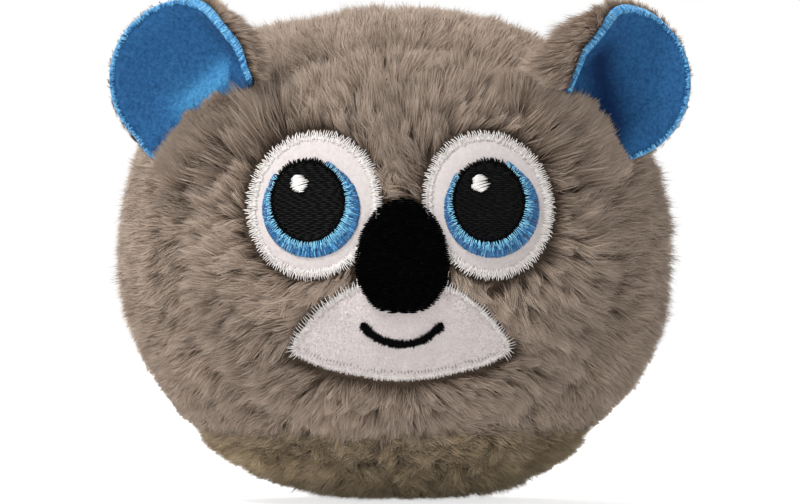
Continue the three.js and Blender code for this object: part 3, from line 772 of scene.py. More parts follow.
def body_clumps():
    """The clumps of the cover's pile, and how far each is on the face, the base and the back."""
    rng = np.random.default_rng(7)
    roots = skin_points(even_directions(CLUMPS, rng))
    normals = ball_normals(roots, 4.0)
    face, base, back = region_weights(roots)
    pile = {key: face * a + back * b + base * c for key, (a, b, c) in PILE.items()}
    x, z = roots[:, 0], roots[:, 2]

    # Shorter beside the patches, low on the ball and at its left side
    places, front = face_places(roots)
    edge = np.min([distance_to(outline, places) for outline in FACE_HOLES], axis=0)
    length = pile["length"] * mix(0.62, 1.0, smooth(np.where(front, edge, 50.0) / 5.0))
    low = (1 - smooth((z - BASE_SEAM_Z) / 14.0)) * (1 - base)
    length *= (1 - 0.4 * low) * (1 - 0.24 * smooth((-x - 30) / 12) * (1 - base))
    lift_tip = pile["lift_tip"] + rng.normal(0, 11, CLUMPS) + 8 * lumps(roots, 7.0, 33) - 14 * low

    # Painted shade: the fur is darker at the right side and low on the left, where less light falls
    painted_shade = face * (0.2 * smooth((x - 18) / 22)
                    + 0.27 * smooth((-x - 18) / 16) * smooth((44 - z) / 14))

    # Up against the ears: longer behind them, and as high before them as the fur line
    for name in EYES:
        along, above, ahead = from_ear(name, roots)
        beside = smooth((13 - np.abs(along)) / 5) * (above > -12)
        behind = beside * bell(ahead, 3.0) * (ahead < 0)
        before = beside * smooth((7.0 - ahead) / 4.0) * (ahead >= 0)
        length *= 1 + 0.3 * behind
        lift_tip += 35 * behind + 16 * before
        to_line = np.clip(0.94 * (np.interp(along, *FUR_LINES[name]) - above), length, 9.5)
        length = np.where(before > 0, mix(length, to_line, before), length)
    return {
        "roots": roots, "normals": normals, "combs": comb_directions(roots, normals, rng),
        "lengths": length * (1 + 0.10 * lumps(roots, 6.0, 31) + rng.normal(0, 0.09, CLUMPS)),
        "lift_root": pile["lift_root"] + rng.normal(0, 6, CLUMPS), "lift_tip": lift_tip,
        "spread": 1.15 + 0.3 * back, "draw_in": pile["draw_in"] * rng.uniform(0.3, 1.7, CLUMPS),
        "stray": pile["stray"], "width": pile["width"],
        "tone": (0.5 + 0.15 * lumps(roots, 9.0, 41) + 0.1 * lumps(roots, 3.6, 42)
                 + rng.normal(0, 0.12, CLUMPS) - painted_shade),
    }, face, base, back


def body_fur():
    """The cover's pile by panels, with what lies against an ear in pieces of its own."""
    clumps, face, base, back = body_clumps()
    left = clumps["roots"][:, 0] < 0
    # Which clumps, how many strands each, of how many segments, and of what
    groups = {
        "face_fur": (face > 0.5, 42, 4, FUR),
        "back_left_fur": ((back >= 0.5) & left, 31, 3, FUR),
        "back_right_fur": ((back >= 0.5) & ~left, 31, 3, FUR),
        "base_fur": (base > 0.5, 46, 3, BASE_FUR),
    }
    for seed, (name, (members, each, segments, material)) in enumerate(groups.items(), 8):
        strands = grow(chosen(clumps, members), each, np.random.default_rng(seed), segments)
        strands = chosen(strands, clear_of_face(strands))
        keep, leaning = around_ears(strands)
        loose = keep.copy()
        for ear_name, against in leaning.items():
            loose &= ~against
            moving = chosen(strands, against & keep)
            pieces = fur_pieces(f"{name}_at_{ear_name}_ear", moving, material)
            dress(pieces, "plush_fur", ear=ear_name)
        dress(fur_pieces(name, chosen(strands, loose), material), "plush_fur")


def cover():
    """The cloth under the pile, in the panels that it is sewn from."""
    rows, columns = 144, 240
    rise = np.linspace(-math.pi / 2, math.pi / 2, rows)
    turn = np.linspace(0, 2 * math.pi, columns, endpoint=False)
    rise, turn = np.meshgrid(rise, turn, indexing="ij")
    directions = np.stack([
        np.cos(rise) * np.cos(turn), np.cos(rise) * np.sin(turn), np.sin(rise),
    ], axis=-1).reshape(-1, 3)
    points = skin_points(directions)
    above_floor = 0.4
    points[:, 2] = np.maximum(points[:, 2], above_floor)
    quads = grid_quads(rows, columns, wrap=True)
    middles = points[quads].mean(axis=1)
    face, base, _ = region_weights(middles)
    behind = (face <= 0.5) & (base <= 0.5)
    left = middles[:, 0] < 0
    panels = {
        "face_panel": (face > 0.5, ["face_seam_thread"]),
        "back_panel_left": (behind & left, []),
        "back_panel_right": (behind & ~left, ["back_seam_thread"]),
        "base_panel": (base > 0.5, ["base_seam_thread", "stuffing"]),
    }
    for node, (members, sewn) in panels.items():
        used, loops = np.unique(quads[members].ravel(), return_inverse=True)
        item = make_mesh(f"{node}_cloth", points[used], loops, np.full(members.sum(), 4), BACKING)
        dress(item, "plush_fur", node, *sewn)


# Embroidery: stitches as thin arched threads

def stitches(name, starts, ends, inset, tones, material, width, arch, segments=4):
    """Threads laid on the face from start to end in the front view, each arched over its middle.

    inset is one depth, or a pair of depths for the starts and the ends.
    """
    s = np.linspace(0, 1, segments + 1)
    x, z = (mix(starts[:, k, None], ends[:, k, None], s[None, :]) for k in (0, 1))
    pair = inset if isinstance(inset, tuple) else (inset, inset)
    first, last = (np.broadcast_to(depth, (len(starts),))[:, None] for depth in pair)
    centre = front_points(x, z, mix(first, last, s[None, :] ** 2))
    lift = arch * np.sin(math.pi * s) ** 0.6 - 0.35 * arch
    normals = ball_normals(centre)
    return tubes(name, centre + normals * lift[None, :, None], normals, width, tones, material)


def tubes(name, centre, normals, width, tones, material):
    """Slightly flattened tubes along the given curves, closed at both ends."""
    sides, flatten = 5, 0.7
    count, rings = centre.shape[:2]
    along = unit(np.gradient(centre, axis=1))
    across = unit(np.cross(along, normals))
    upward = np.cross(across, along)
    angle = np.linspace(0, 2 * math.pi, sides, endpoint=False)
    taper = np.sqrt(np.clip(1 - 0.75 * np.abs(np.linspace(-1, 1, rings)) ** 6, 0, 1))
    half = (0.5 * width * taper)[:, None]
    ring = (
        across[:, :, None, :] * (np.cos(angle) * half)[None, :, :, None]
        + upward[:, :, None, :] * (np.sin(angle) * half * flatten)[None, :, :, None]
    )
    points = (centre[:, :, None, :] + ring).reshape(count, -1, 3)
    faces = [
        [k + j, k + (j + 1) % sides, k + sides + (j + 1) % sides, k + sides + j]
        for k in range(0, (rings - 1) * sides, sides) for j in range(sides)
    ]
    faces += [list(range(sides - 1, -1, -1)), list(range((rings - 1) * sides, rings * sides))]
    v = np.repeat(np.linspace(0, 1, rings), sides)
    return strand_mesh(name, points, faces, v, tones, material)


def satin_border(name, outline, inset, material, rng, inner, outer, pitch, width, hide=None,
                 drop=None, slant=0.1, tone=0.55, spread=0.2, arch=0.26):
    """Stitches across an outline, from inside it to outside it.

    hide says which places have none, and drop how far the outer ends dip at each place.
    """
    places, out = even_walk(outline, pitch)
    count = len(places)
    along = np.stack([-out[:, 1], out[:, 0]], axis=1)
    lean = rng.normal(0, slant, count)[:, None] * along
    starts = places - out * (inner * rng.uniform(0.8, 1.15, count))[:, None] - lean
    ends = places + out * (outer + rng.normal(0, 0.16, count))[:, None] + lean * 2
    depth = inset + rng.choice([0.0, 0.08, 0.16], count)
    outer_depth = depth + (drop(places) if drop else 0.0)
    if hide:
        seen = ~hide(places)
        starts, ends, depth, outer_depth = (
            values[seen] for values in (starts, ends, depth, outer_depth))
    tones = random_tones(rng, tone, spread, len(starts))
    return stitches(name, starts, ends, (depth, outer_depth), tones, material, width, arch)


def patch_mesh(name, outline, inset, material, thickness, dome=0.0):
    """A cloth patch that follows the face inside an outline, domed in its middle on wish."""
    rings = 14
    middle = outline.mean(axis=0)
    rows = []
    for k in range(rings + 1):
        t = 1 - k / rings
        places = middle + (outline - middle) * t
        edge = math.sqrt(max(0.0, 1 - t ** 6))
        points = front_points(places[:, 0], places[:, 1], inset)
        sunk = points - ball_normals(points) * (0.5 * (1 - edge))
        rows.append(sunk + ball_normals(points) * dome * (1 - t * t))
    item = grid_mesh(name, np.array(rows), material, wrap=True)
    thicken(item, thickness)
    return item


def eye(name, side):
    rng = np.random.default_rng(100 + side)
    label = f"eye_{name}"
    patch = EYE_PATCHES[name]
    velvet = patch_mesh(f"{label}_velvet", grown(patch, -0.3), DEPTHS["eye_velvet"],
                        EYE_WHITE, thickness=1.2)
    dress(velvet, "short_pile", f"{label}_patch")
    toothed_border(label, patch, WHITE_THREAD, rng, inner=1.5, teeth=(0.7, 0.55, 0.36))
    iris_ring(label, side, rng)
    pupil_fill(label, side, rng)
    glint(label, side, rng)


def toothed_border(label, outline, material, rng, inner, teeth, hide=None, hide_teeth=None,
                   drop=None):
    """Close flat satin along an outline, and bright teeth over its edge.

    inner is how far in the satin reaches; teeth, how far in and out they do, and their pitch.
    """
    satin = satin_border(
        f"{label}_satin", outline, DEPTHS["border"], material, rng, inner, outer=-0.1, pitch=0.16,
        width=0.22, hide=hide, drop=drop, tone=0.6, spread=0.1, arch=0.2,
    )
    dress(satin, "white_thread", f"{label}_border")
    reach_in, reach_out, pitch = teeth
    comb = satin_border(
        f"{label}_teeth", outline, DEPTHS["teeth"], material, rng, reach_in, reach_out, pitch,
        width=0.15, hide=hide_teeth or hide, drop=drop, tone=0.85,
    )
    dress(comb, "white_thread")


# Blue satin round the pupil: a dark outer layer, a bright inner one, and teeth over the black.
# Each has its pitch, where its stitches start and end as ring_stitches takes it, its tone and how
# much that varies, its depth below THREAD_INSET and its thread's width
IRIS_LAYERS = {
    "outer": (0.1, (0.0, -0.08, 0.12), (0.65, -0.2, 0.2), 0.36, 0.22, 0.18, 0.16),
    "inner": (0.15, (0.45, -0.3, 0.3), (1.0, -0.05, 0.1), 0.6, 0.28, 0.06, 0.14),
    "teeth": (0.36, (0.7, -0.3, 0.3), (1.0, 0.3, 0.5), 0.9, 0.1, -0.34, 0.15),
}


def iris_ring(label, side, rng):
    iris = iris_outline(side)
    for layer, (pitch, first, last, tone, spread, depth, width) in IRIS_LAYERS.items():
        starts, ends = ring_stitches(side, iris, pitch, first, last, rng)
        tones = random_tones(rng, tone, spread, len(starts))
        depths = THREAD_INSET + depth + rng.choice([0.0, 0.07, 0.14], len(starts))
        ring = stitches(f"{label}_iris_{layer}", starts, ends, depths, tones, BLUE_THREAD, width,
                        arch=0.16)
        nodes = [f"{label}_iris"] if layer == "outer" else []
        dress(ring, "blue_thread", *nodes)
    under = patch_mesh(f"{label}_iris_ground", grown(iris, -0.15), DEPTHS["iris_ground"],
                       BLUE_GROUND, thickness=0.3)
    dress(under, "blue_thread")


def ring_stitches(side, iris, pitch, first, last, rng):
    """Stitches between the iris's edge and the pupil's.

    Each end is a share of the way between them, and the least and most to go on from there.
    """
    centre = pupil_centre(side)
    places, _ = even_walk(iris, pitch)
    toward = unit(centre - places)
    gap = pupil_gap(places, toward, centre)
    seen = gap > 0.05
    places, toward, gap = places[seen], toward[seen], gap[seen]
    count = len(places)
    across = np.stack([-toward[:, 1], toward[:, 0]], axis=1)
    way = np.maximum(gap, 0.5)
    lean = rng.normal(0, 0.12, count)[:, None] * across
    starts, ends = (
        places + toward * (way * share + gap - way + rng.uniform(least, most, count))[:, None]
        for share, least, most in (first, last)
    )
    return starts, ends + lean


def pupil_fill(label, side, rng):
    pupil = pupil_outline(side)
    ground = patch_mesh(f"{label}_pupil_ground", grown(pupil, -0.2), DEPTHS["pupil_ground"],
                        BLACK_CLOTH, thickness=0.3)
    dress(ground, "black_thread")
    fill = fill_rows(f"{label}_pupil_fill", grown(pupil, -0.7), DEPTHS["pupil_fill"],
                     BLACK_THREAD, rng, pitch=0.34)
    dress(fill, "black_thread", f"{label}_pupil")
    edge = satin_border(f"{label}_pupil_edge", pupil, DEPTHS["pupil_edge"], BLACK_EDGE, rng,
                        inner=1.0, outer=0.1, pitch=0.19, width=0.24, slant=0.08)
    dress(edge, "black_thread")


def glint(label, side, rng):
    spot = pupil_centre(side) + np.array(GLINT_SHIFT)
    count = 17
    offsets = np.linspace(-0.95 * GLINT_RADIUS, 0.95 * GLINT_RADIUS, count)
    half = np.sqrt(GLINT_RADIUS ** 2 - offsets ** 2)
    row = np.array([math.cos(GLINT_TILT), math.sin(GLINT_TILT)])
    column = np.array([-row[1], row[0]])
    middles = spot + offsets[:, None] * column
    starts = middles - (half * rng.uniform(0.8, 1.15, count))[:, None] * row
    ends = middles + (half * rng.uniform(0.8, 1.25, count))[:, None] * row
    ends += rng.normal(0, 0.1, (count, 2))
    item = stitches(f"{label}_glint_satin", starts, ends, DEPTHS["glint"],
                    rng.uniform(0.6, 0.98, count), WHITE_THREAD, width=0.25, arch=0.3)
    dress(item, "white_thread", f"{label}_glint")


def pupil_gap(places, toward, centre):
    """How far each place on the iris's edge is from the pupil, towards its middle."""
    d = places - centre
    a = (toward[:, 0] / PUPIL_HALF[0]) ** 2 + (toward[:, 1] / PUPIL_HALF[1]) ** 2
    b = 2 * (d[:, 0] * toward[:, 0] / PUPIL_HALF[0] ** 2
             + d[:, 1] * toward[:, 1] / PUPIL_HALF[1] ** 2)
    c = (d[:, 0] / PUPIL_HALF[0]) ** 2 + (d[:, 1] / PUPIL_HALF[1]) ** 2 - 1
    root = np.sqrt(np.maximum(0, b * b - 4 * a * c))
    return (-b - root) / (2 * a)


FILL_STITCH = 1.9


def fill_rows(name, outline, inset, material, rng, pitch, ragged=0.0):
    """Rows of short horizontal stitches that fill an outline; ragged is how far they pass it."""
    low, high = outline.min(axis=0), outline.max(axis=0)
    starts, ends = [], []
    for row, z in enumerate(np.arange(low[1] + pitch / 2, high[1], pitch)):
        line = np.stack([np.linspace(low[0], high[0], 400), np.full(400, z)], axis=1)
        within = line[inside(outline, line)]
        if len(within) < 3:
            continue
        first = within[0, 0] - rng.uniform(0, ragged + 1e-6)
        last = within[-1, 0] + rng.uniform(0, ragged + 1e-6)
        x = first - (row * 0.37 % 1) * FILL_STITCH
        while x < last:
            a, b = max(first, x), min(last, x + FILL_STITCH)
            if b - a > 0.25:
                starts.append((a, z))
                ends.append((b, z))
            x += FILL_STITCH * rng.uniform(0.85, 1.1)
    starts, ends = np.array(starts), np.array(ends)
    wobble = rng.normal(0, 0.03, starts.shape)
    tones = random_tones(rng, 0.4, 0.2, len(starts))
    return stitches(name, starts + wobble, ends - wobble, inset, tones, material,
                    width=pitch * 1.04, arch=0.1, segments=3)


# Below this height the muzzle's lower edge rolls under
MUZZLE_ROLL_TOP = -15.0


def muzzle_roll(places):
    """How far the border's outer ends dip: much along the rolled lower edge, little above it."""
    return 1.5 * smooth((MUZZLE_ROLL_TOP - places[:, 1]) / 2.5) - 0.25


def under_nose(places):
    return inside(grown(NOSE_OUTLINE, 0.2), places)


# Below this height the muzzle's border has no teeth, and dots between its stitches
MUZZLE_DOTS_TOP = -18.2


def muzzle_pile(rng):
    """Short pile that stands up from the muzzle's patch."""
    outline = grown(MUZZLE_OUTLINE, -0.7)
    low, high = outline.min(axis=0), outline.max(axis=0)
    density = 42.0
    places = rng.uniform(low, high, (int(density * np.prod(high - low)), 2))
    places = places[inside(grown(outline, -0.15), places) & ~inside(NOSE_OUTLINE[::3], places)]
    rounding = 0.6 * (1 - smooth(distance_to(outline, places) / 1.2))
    roots = front_points(places[:, 0], places[:, 1], DEPTHS["muzzle_pile"] + rounding)
    normals = ball_normals(roots)
    count = len(roots)
    combs = rng.normal(0, 0.7, (count, 3)) + np.array([0.25, 0, -0.6])
    plant("muzzle_pile", {
        "roots": roots, "normals": normals, "combs": tangent_part(combs, normals),
        "lengths": 0.5 * rng.uniform(0.75, 1.15, count),
        "lift_root": 72.0, "lift_tip": rng.uniform(15, 45, count),
        "spread": 0.22, "draw_in": 0.2, "stray": 0.2, "width": 0.085,
        "tone": 0.5 + 0.15 * lumps(roots, 4.0, 52) + rng.normal(0, 0.08, count),
    }, rng, WHITE_PILE, "short_pile", each=3, segments=2)


def muzzle():
    rng = np.random.default_rng(61)
    velvet = patch_mesh("muzzle_velvet", grown(MUZZLE_OUTLINE, -0.2), DEPTHS["muzzle_velvet"],
                        WHITE_CLOTH, thickness=1.0, dome=0.3)
    dress(velvet, "short_pile", "muzzle_patch")
    muzzle_pile(rng)
    toothed_border(
        "muzzle", MUZZLE_OUTLINE, MUZZLE_THREAD, rng, inner=1.3, teeth=(0.9, 0.95, 0.5),
        hide=under_nose,
        hide_teeth=lambda places: under_nose(places) | (places[:, 1] < MUZZLE_DOTS_TOP),
        drop=muzzle_roll,
    )
    dots = satin_border(
        "muzzle_dots", MUZZLE_OUTLINE, DEPTHS["muzzle_dots"], MUZZLE_THREAD, rng, inner=1.95,
        outer=-1.5, pitch=0.62, width=0.22, hide=lambda places: places[:, 1] > MUZZLE_DOTS_TOP,
        slant=0.02, tone=0.03, spread=0.05,
    )
    dress(dots, "white_thread")


def nose():
    rng = np.random.default_rng(62)
    ground = patch_mesh("nose_ground", grown(NOSE_OUTLINE, -0.15), DEPTHS["nose_ground"],
                        BLACK_CLOTH, thickness=1.4)
    dress(ground, "black_thread")
    fill = fill_rows("nose_fill", NOSE_OUTLINE, DEPTHS["nose_fill"], NOSE_THREAD, rng,
                     pitch=0.36, ragged=0.25)
    dress(fill, "black_thread", "nose")


def mouth():
    """A black arc of satin, a little swollen before its rounded ends."""
    rng = np.random.default_rng(63)
    half, corner, sag, stroke = 6.8, -12.3, 3.4, 1.6
    radius = (half ** 2 + sag ** 2) / (2 * sag)
    spread = math.asin(half / radius)
    middle = corner + radius * math.cos(spread)
    length = 2 * spread * radius + 0.8
    count = int(length / 0.19)
    along = np.linspace(-length / 2, length / 2, count)
    out = np.stack([np.sin(along / radius), -np.cos(along / radius)], axis=1)
    places = np.array([0.0, middle]) + out * radius
    to_end = length / 2 - np.abs(along)
    swell = 1 + 0.22 * bell(to_end - 0.8, 0.7)
    swell *= np.sqrt(np.clip(1 - (1 - np.minimum(1, to_end / 0.8)) ** 2, 0.1, 1))
    reach = 0.5 * stroke * swell * rng.uniform(0.7, 1.2, (2, count))
    starts = places - out * reach[0][:, None]
    ends = places + out * reach[1][:, None]
    item = stitches("mouth_satin", starts, ends, DEPTHS["mouth"],
                    random_tones(rng, 0.4, 0.2, count), BLACK_EDGE, width=0.25, arch=0.34)
    dress(item, "black_thread", "mouth")


# Ears: felt in front, plush behind, a stitched rim, curled in the cloth's own plane

EAR_RADIUS = 14.0
EAR_CENTRE_UP = 7.0
EAR_TOP = EAR_CENTRE_UP + EAR_RADIUS
EAR_ROOT_DEPTH = 5.5
# How far up from the seam the ear's cloth is pinched thin
PINCH_LENGTH = 7.0
# Where the plush's pile is rooted, off the mid cloth
PILE_LEVEL = -0.75
# The rim's stitches: from one to the next, and how thick
RIM_PITCH = 0.1
RIM_THREAD_WIDTH = 0.17
# Clumps or fibres on one ear
EAR_FUR_COUNT = 5000
SKIRT_COUNT = 1450
FUZZ_COUNT = 5200
FRONT = np.array([0.0, -1.0, 0.0])
# The curl's angle in degrees, its length, where it starts low and high on the ear, and between
# which heights that changes; then how much wider the curled side gets towards the seam
CURLS = {
    "left": (93.0, 6.6, (4.6, 7.1), (-2.0, 7.0), 0.0),
    "right": (120.0, 5.9, (8.0, 7.7), (5.0, 19.0), 0.5),
}
# The gentle bend before the curl, in degrees
EARLY_BEND = {"left": 12.0, "right": 30.0}
# Below the seam the curled side narrows to the sewn-in root: from what depth, over what height,
# and to what half width
ROOT_TAPER = {"left": (0.4, 1.3, 1.84), "right": (0.2, 2.4, 8.5)}
# How much wider than its round the ear's outer side is at the seam
OUTER_FOOT = {"left": 1.6, "right": 0.0}
# How far the felt stands forward over the seam, at the curled side and at the outer side
FOOT_RIDGE = {"left": (3.2, 0.8), "right": (0.6, 0.4)}
# How far the rim's stitches reach round onto the curled side's plush, how long the pile is there
# as a share of the rest, and its lift in degrees
CURLED_PLUSH = {"left": (0.1, 1.3, 42.0), "right": (0.5, 1.45, 36.0)}
# From where across the ear, towards its curled side, the pile at its top stands out past the rim
FRINGE_START = {"left": -7.0, "right": 5.0}
# A band across the felt painted lighter or darker: painted light on the left ear, and painted shade
# beside the right ear's fold. Its columns: a place on it, across and up the ear, its slope, its half
# width, over which places across it reaches, and how much lighter it is
FELT_PAINTED_SHADING = {
    "left": (0.0, 3.4, 0.05, 2.9, (-9.5, -6.5, 2.0, 9.0), 0.49),
    "right": (0.0, 5.0, -0.6, 4.2, (-8.0, -5.0, 6.0, 12.0), -0.49),
}
# How high the face's fur climbs over the felt: across the ear, and up from the seam
FUR_LINES = {
    "left": ((-9.0, -7.7, -4.3, 1.5, 8.3, 14.0), (-2.5, -1.0, 1.3, 2.7, 2.3, 0.8)),
    "right": ((-11.0, -8.0, -5.0, -3.6, 0.4, 5.9, 11.5, 13.0),
              (-0.6, -0.4, 0.0, 0.2, 3.0, 1.4, -0.3, -0.8)),
}


def ear_frame(name):
    """The hinge point in millimetres, and unit vectors out of the head's side and up the ear."""
    joints = frame["record"]["behaviour"]["joints"]
    joint = next(j for j in joints if j["name"] == f"ear_{name}_flex")
    x_axis = np.array(joint["axis"], float)
    return np.array(joint["pos_m"]) / MM, x_axis * EYES[name], np.cross(FRONT, x_axis)


def from_ear(name, points):
    """Points as across the ear, up it and forward of it, from its hinge."""
    hinge, lateral, up_axis = ear_frame(name)
    gap = points - hinge
    return gap @ lateral, gap @ up_axis, gap @ FRONT


def curl_heading(name, across, up):
    """How far, in radians, the cloth has turned towards the front at a place on the ear."""
    angle, length, (low, high), (first, last), _ = CURLS[name]
    start = mix(low, high, smooth((up - first) / (last - first)))
    early = EARLY_BEND[name] * smooth((3 - across) / 8) * smooth((up + 3) / 3)
    return np.radians(angle * np.clip((-across - start) / length, 0, 1) + early)


def ear_dish(name, across, up):
    """How far the cloth stands forward over the seam and sinks back above it."""
    inner, outer = FOOT_RIDGE[name]
    ridge = mix(outer, inner, smooth((5 - across) / 8)) * (1 - smooth((-across - 8) / 3))
    ridge *= smooth((up + 1.8) / 2.2) * (1 - smooth((up - 1.6) / 4.6))
    middle = 1 - smooth((np.abs(across) - 5) / 8)
    hollow = smooth((up - 2.0) / 6.5) * (1 - smooth((up - 8.0) / 12.0)) * middle
    return ridge - 0.9 * hollow


def ear_points(name, across, up, front):
    """Points on the curled ear, front off its mid cloth; across is positive away from the head."""
    steps = 32
    x = np.zeros_like(across)
    z = np.zeros_like(across)
    for i in range(steps):
        heading = curl_heading(name, (i + 0.5) / steps * across, up)
        x += np.cos(heading) * across / steps
        z -= np.sin(heading) * across / steps
    heading = curl_heading(name, across, up)
    front = front + ear_dish(name, across, up)
    x = x + front * np.sin(heading)
    z = z + front * np.cos(heading)
    hinge, lateral, up_axis = ear_frame(name)
    return hinge + x[..., None] * lateral + up[..., None] * up_axis + z[..., None] * FRONT


def ear_front_normals(name, across, up):
    step = 0.05
    level = np.zeros_like(across)
    here = ear_points(name, across, up, level)
    right = ear_points(name, across + step, up, level)
    above = ear_points(name, across, up + step, level)
    return unit(np.cross(right - here, above - here)) * EYES[name]


def ear_half_width(name, across, up):
    """The cloth's half width at a height, which differs from side to side."""
    above = np.maximum(0, up)
    disc = np.sqrt(np.maximum(0, EAR_RADIUS ** 2 - (above - EAR_CENTRE_UP) ** 2))
    widening = CURLS[name][4]
    low = EAR_RADIUS + widening * (EAR_CENTRE_UP - above)
    wide = np.where((up < EAR_CENTRE_UP) & (widening > 0), low, disc)
    start, over, root = ROOT_TAPER[name]
    curled_side = mix(wide, root, smooth((-up - start) / over))
    outer_side = disc + OUTER_FOOT[name] * smooth((6 - up) / 6) + 0.5 * np.minimum(0, up)
    return np.where(across < 0, curled_side, outer_side)


def ear_rows(rows):
    """Heights from the sewn-in root to the top of the ear."""
    below = np.linspace(-EAR_ROOT_DEPTH, 0, 9)[:-1]
    return np.concatenate([below, (EAR_TOP - 0.1) * np.sin(np.linspace(0, math.pi / 2, rows))])


def ear_grid(name, rows, columns):
    """across and up for a grid over the whole ear, closer together at its edges."""
    up = np.repeat(ear_rows(rows)[:, None], columns, axis=1)
    share = np.repeat(np.sin(np.linspace(-0.5, 0.5, columns) * math.pi)[None, :], len(up), axis=0)
    return share * ear_half_width(name, share, up), up


def ride_ear(item):
    """Bakes a piece's place into its mesh."""
    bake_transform(item)


def ear_cloth(label, name, front, material, nodes, slot, thickness):
    """The felt or the plush of an ear; front says how far its face is off the mid cloth."""
    across, up = ear_grid(name, 60, 96)
    level = front(name, across, up)
    # The felt's painted shade and painted light go in its OFBake map
    uv = np.stack([painted_shading_tone(name, across, up), np.zeros_like(up)], axis=-1).reshape(-1, 2)
    item = grid_mesh(label, ear_points(name, across, up, level), material, uv=uv)
    if (EYES[name] < 0) == (level.mean() > 0):
        item.data.flip_normals()
    thicken(item, thickness)
    dress(item, slot, *nodes, ear=name)


def painted_shading_tone(name, across, up):
    """How dark or light the felt is painted, from 0 to 1: painted shade below 0.5, painted light
    above.
    """
    middle, height, slope, reach, (a, b, c, d), change = FELT_PAINTED_SHADING[name]
    line = bell(up - height - slope * (across - middle), reach)
    line *= smooth((across - a) / (b - a)) * (1 - smooth((across - c) / (d - c)))
    return np.clip(0.5 + change * line, 0.01, 0.99)


def rim_nearness(name, across, up, reach):
    """0 on the ear's edge, and 1 from that far inside it on."""
    sides = np.clip((ear_half_width(name, across, up) - np.abs(across)) / reach, 0, 1)
    top = np.clip((EAR_TOP - up) / reach, 0, 1)
    return np.minimum(sides, top)


def felt_front(name, across, up):
    """The felt's face: pressed thin at the seam, its edge drawn down under the rim stitches."""
    pinch = smooth(up / PINCH_LENGTH)
    rim = np.where(up > 0, rim_nearness(name, across, up, 2.0), 1)
    waves = np.stack([across, up, up * 0], axis=-1).reshape(-1, 3)
    ripple = 0.12 * lumps(waves, 4.5, 71).reshape(up.shape)
    return mix(0.75, 1.15, pinch) - 0.35 * (1 - smooth(rim)) + ripple * smooth(up / 2)


def plush_back(name, across, up):
    """The plush's cloth, behind the mid cloth and drawn in under the rim."""
    rim = rim_nearness(name, across, up, 3.0)
    return -mix(0.35, 0.8, smooth(up / PINCH_LENGTH)) * np.sqrt(0.15 + 0.85 * rim)


def ear(name):
    rng = np.random.default_rng(80 + EYES[name])
    label = f"ear_{name}"
    felt, plush = f"{label}_felt", f"{label}_plush"
    ear_cloth(felt, name, felt_front, FELT, [f"{label}_lining", f"{label}_root"], "blue_felt",
              thickness=0.9)
    ear_cloth(plush, name, plush_back, BACKING, [f"{label}_back"], "plush_fur",
              thickness=0.3)
    ear_fur(name, rng)
    ear_skirt(name, rng)
    rim_stitches(name, rng)
    felt_fuzz(name, rng)


def ear_places(name, count, lowest, rng):
    """Random places on the ear's cloth, as across and up, and how far from its edge each is."""
    across = rng.uniform(-18, EAR_RADIUS, 2 * count)
    up = rng.uniform(lowest, EAR_TOP, 2 * count)
    room = ear_half_width(name, across, up) - np.abs(across)
    keep = room > 0
    across, up, room = across[keep], up[keep], room[keep]
    radial = np.where(up > EAR_CENTRE_UP, EAR_RADIUS - np.hypot(across, up - EAR_CENTRE_UP), room)
    return across[:count], up[:count], np.maximum(0, np.minimum(room, radial))[:count]


def ear_fur(name, rng):
    """Plush on the ear's back: combed down towards the seam, short where the cloth curls."""
    across, up, edge = ear_places(name, EAR_FUR_COUNT, -3.0, rng)
    curled = smooth(np.degrees(curl_heading(name, across, up)) / 60 - 0.2)
    wrap, share, lift = CURLED_PLUSH[name]
    clear = edge > 1.4 * wrap * curled
    across, up, edge, curled = across[clear], up[clear], edge[clear], curled[clear]
    count = len(up)
    normals = -ear_front_normals(name, across, up)
    level = np.full(count, PILE_LEVEL)
    roots = ear_points(name, across, up, level)
    fringe = smooth((FRINGE_START[name] - across) / 3) * smooth((up - 9) / 4)
    fringe = fringe * (1 - smooth((edge - 0.6) / 1.5))
    radial = unit(np.stack([across, up - EAR_CENTRE_UP], axis=1))
    step_across = mix(-0.32 * curled + 0.1 * (1 - curled), 1.5 * radial[:, 0], fringe)
    step_up = mix(-1.0, 1.5 * radial[:, 1], fringe)
    ahead = ear_points(name, across + 0.3 * step_across, up + 0.3 * step_up, level)
    turn = 0.2 * lumps(roots, 5.0, 73) + rng.normal(0, 0.15, count)
    crown = smooth((up - EAR_CENTRE_UP) / 8) * (1 - curled)
    lengths = mix(1.5, 4.0, smooth(edge / 4.0)) * mix(1.0, 0.8, crown * (1 - fringe))
    lengths *= rng.uniform(0.85, 1.15, count)
    plant(f"ear_{name}_fur", {
        "roots": roots, "normals": normals,
        "combs": turn_about(tangent_part(ahead - roots, normals), normals, turn),
        "lengths": lengths * mix(1.0, share, curled),
        "lift_root": mix(62.0, 28.0 + lift, curled),
        "lift_tip": rng.normal(0, 6, count) + mix(30.0, lift, curled),
        "spread": 0.8, "draw_in": 0.4, "stray": 0.12, "width": 0.1,
        # The fringe's pile is painted lighter: painted light where it stands in shade behind the rim
        "tone": 0.66 + 0.26 * fringe + 0.07 * lumps(roots, 6.0, 74) + rng.normal(0, 0.05, count),
    }, rng, FUR, "plush_fur", each=9, segments=3, ear=name)


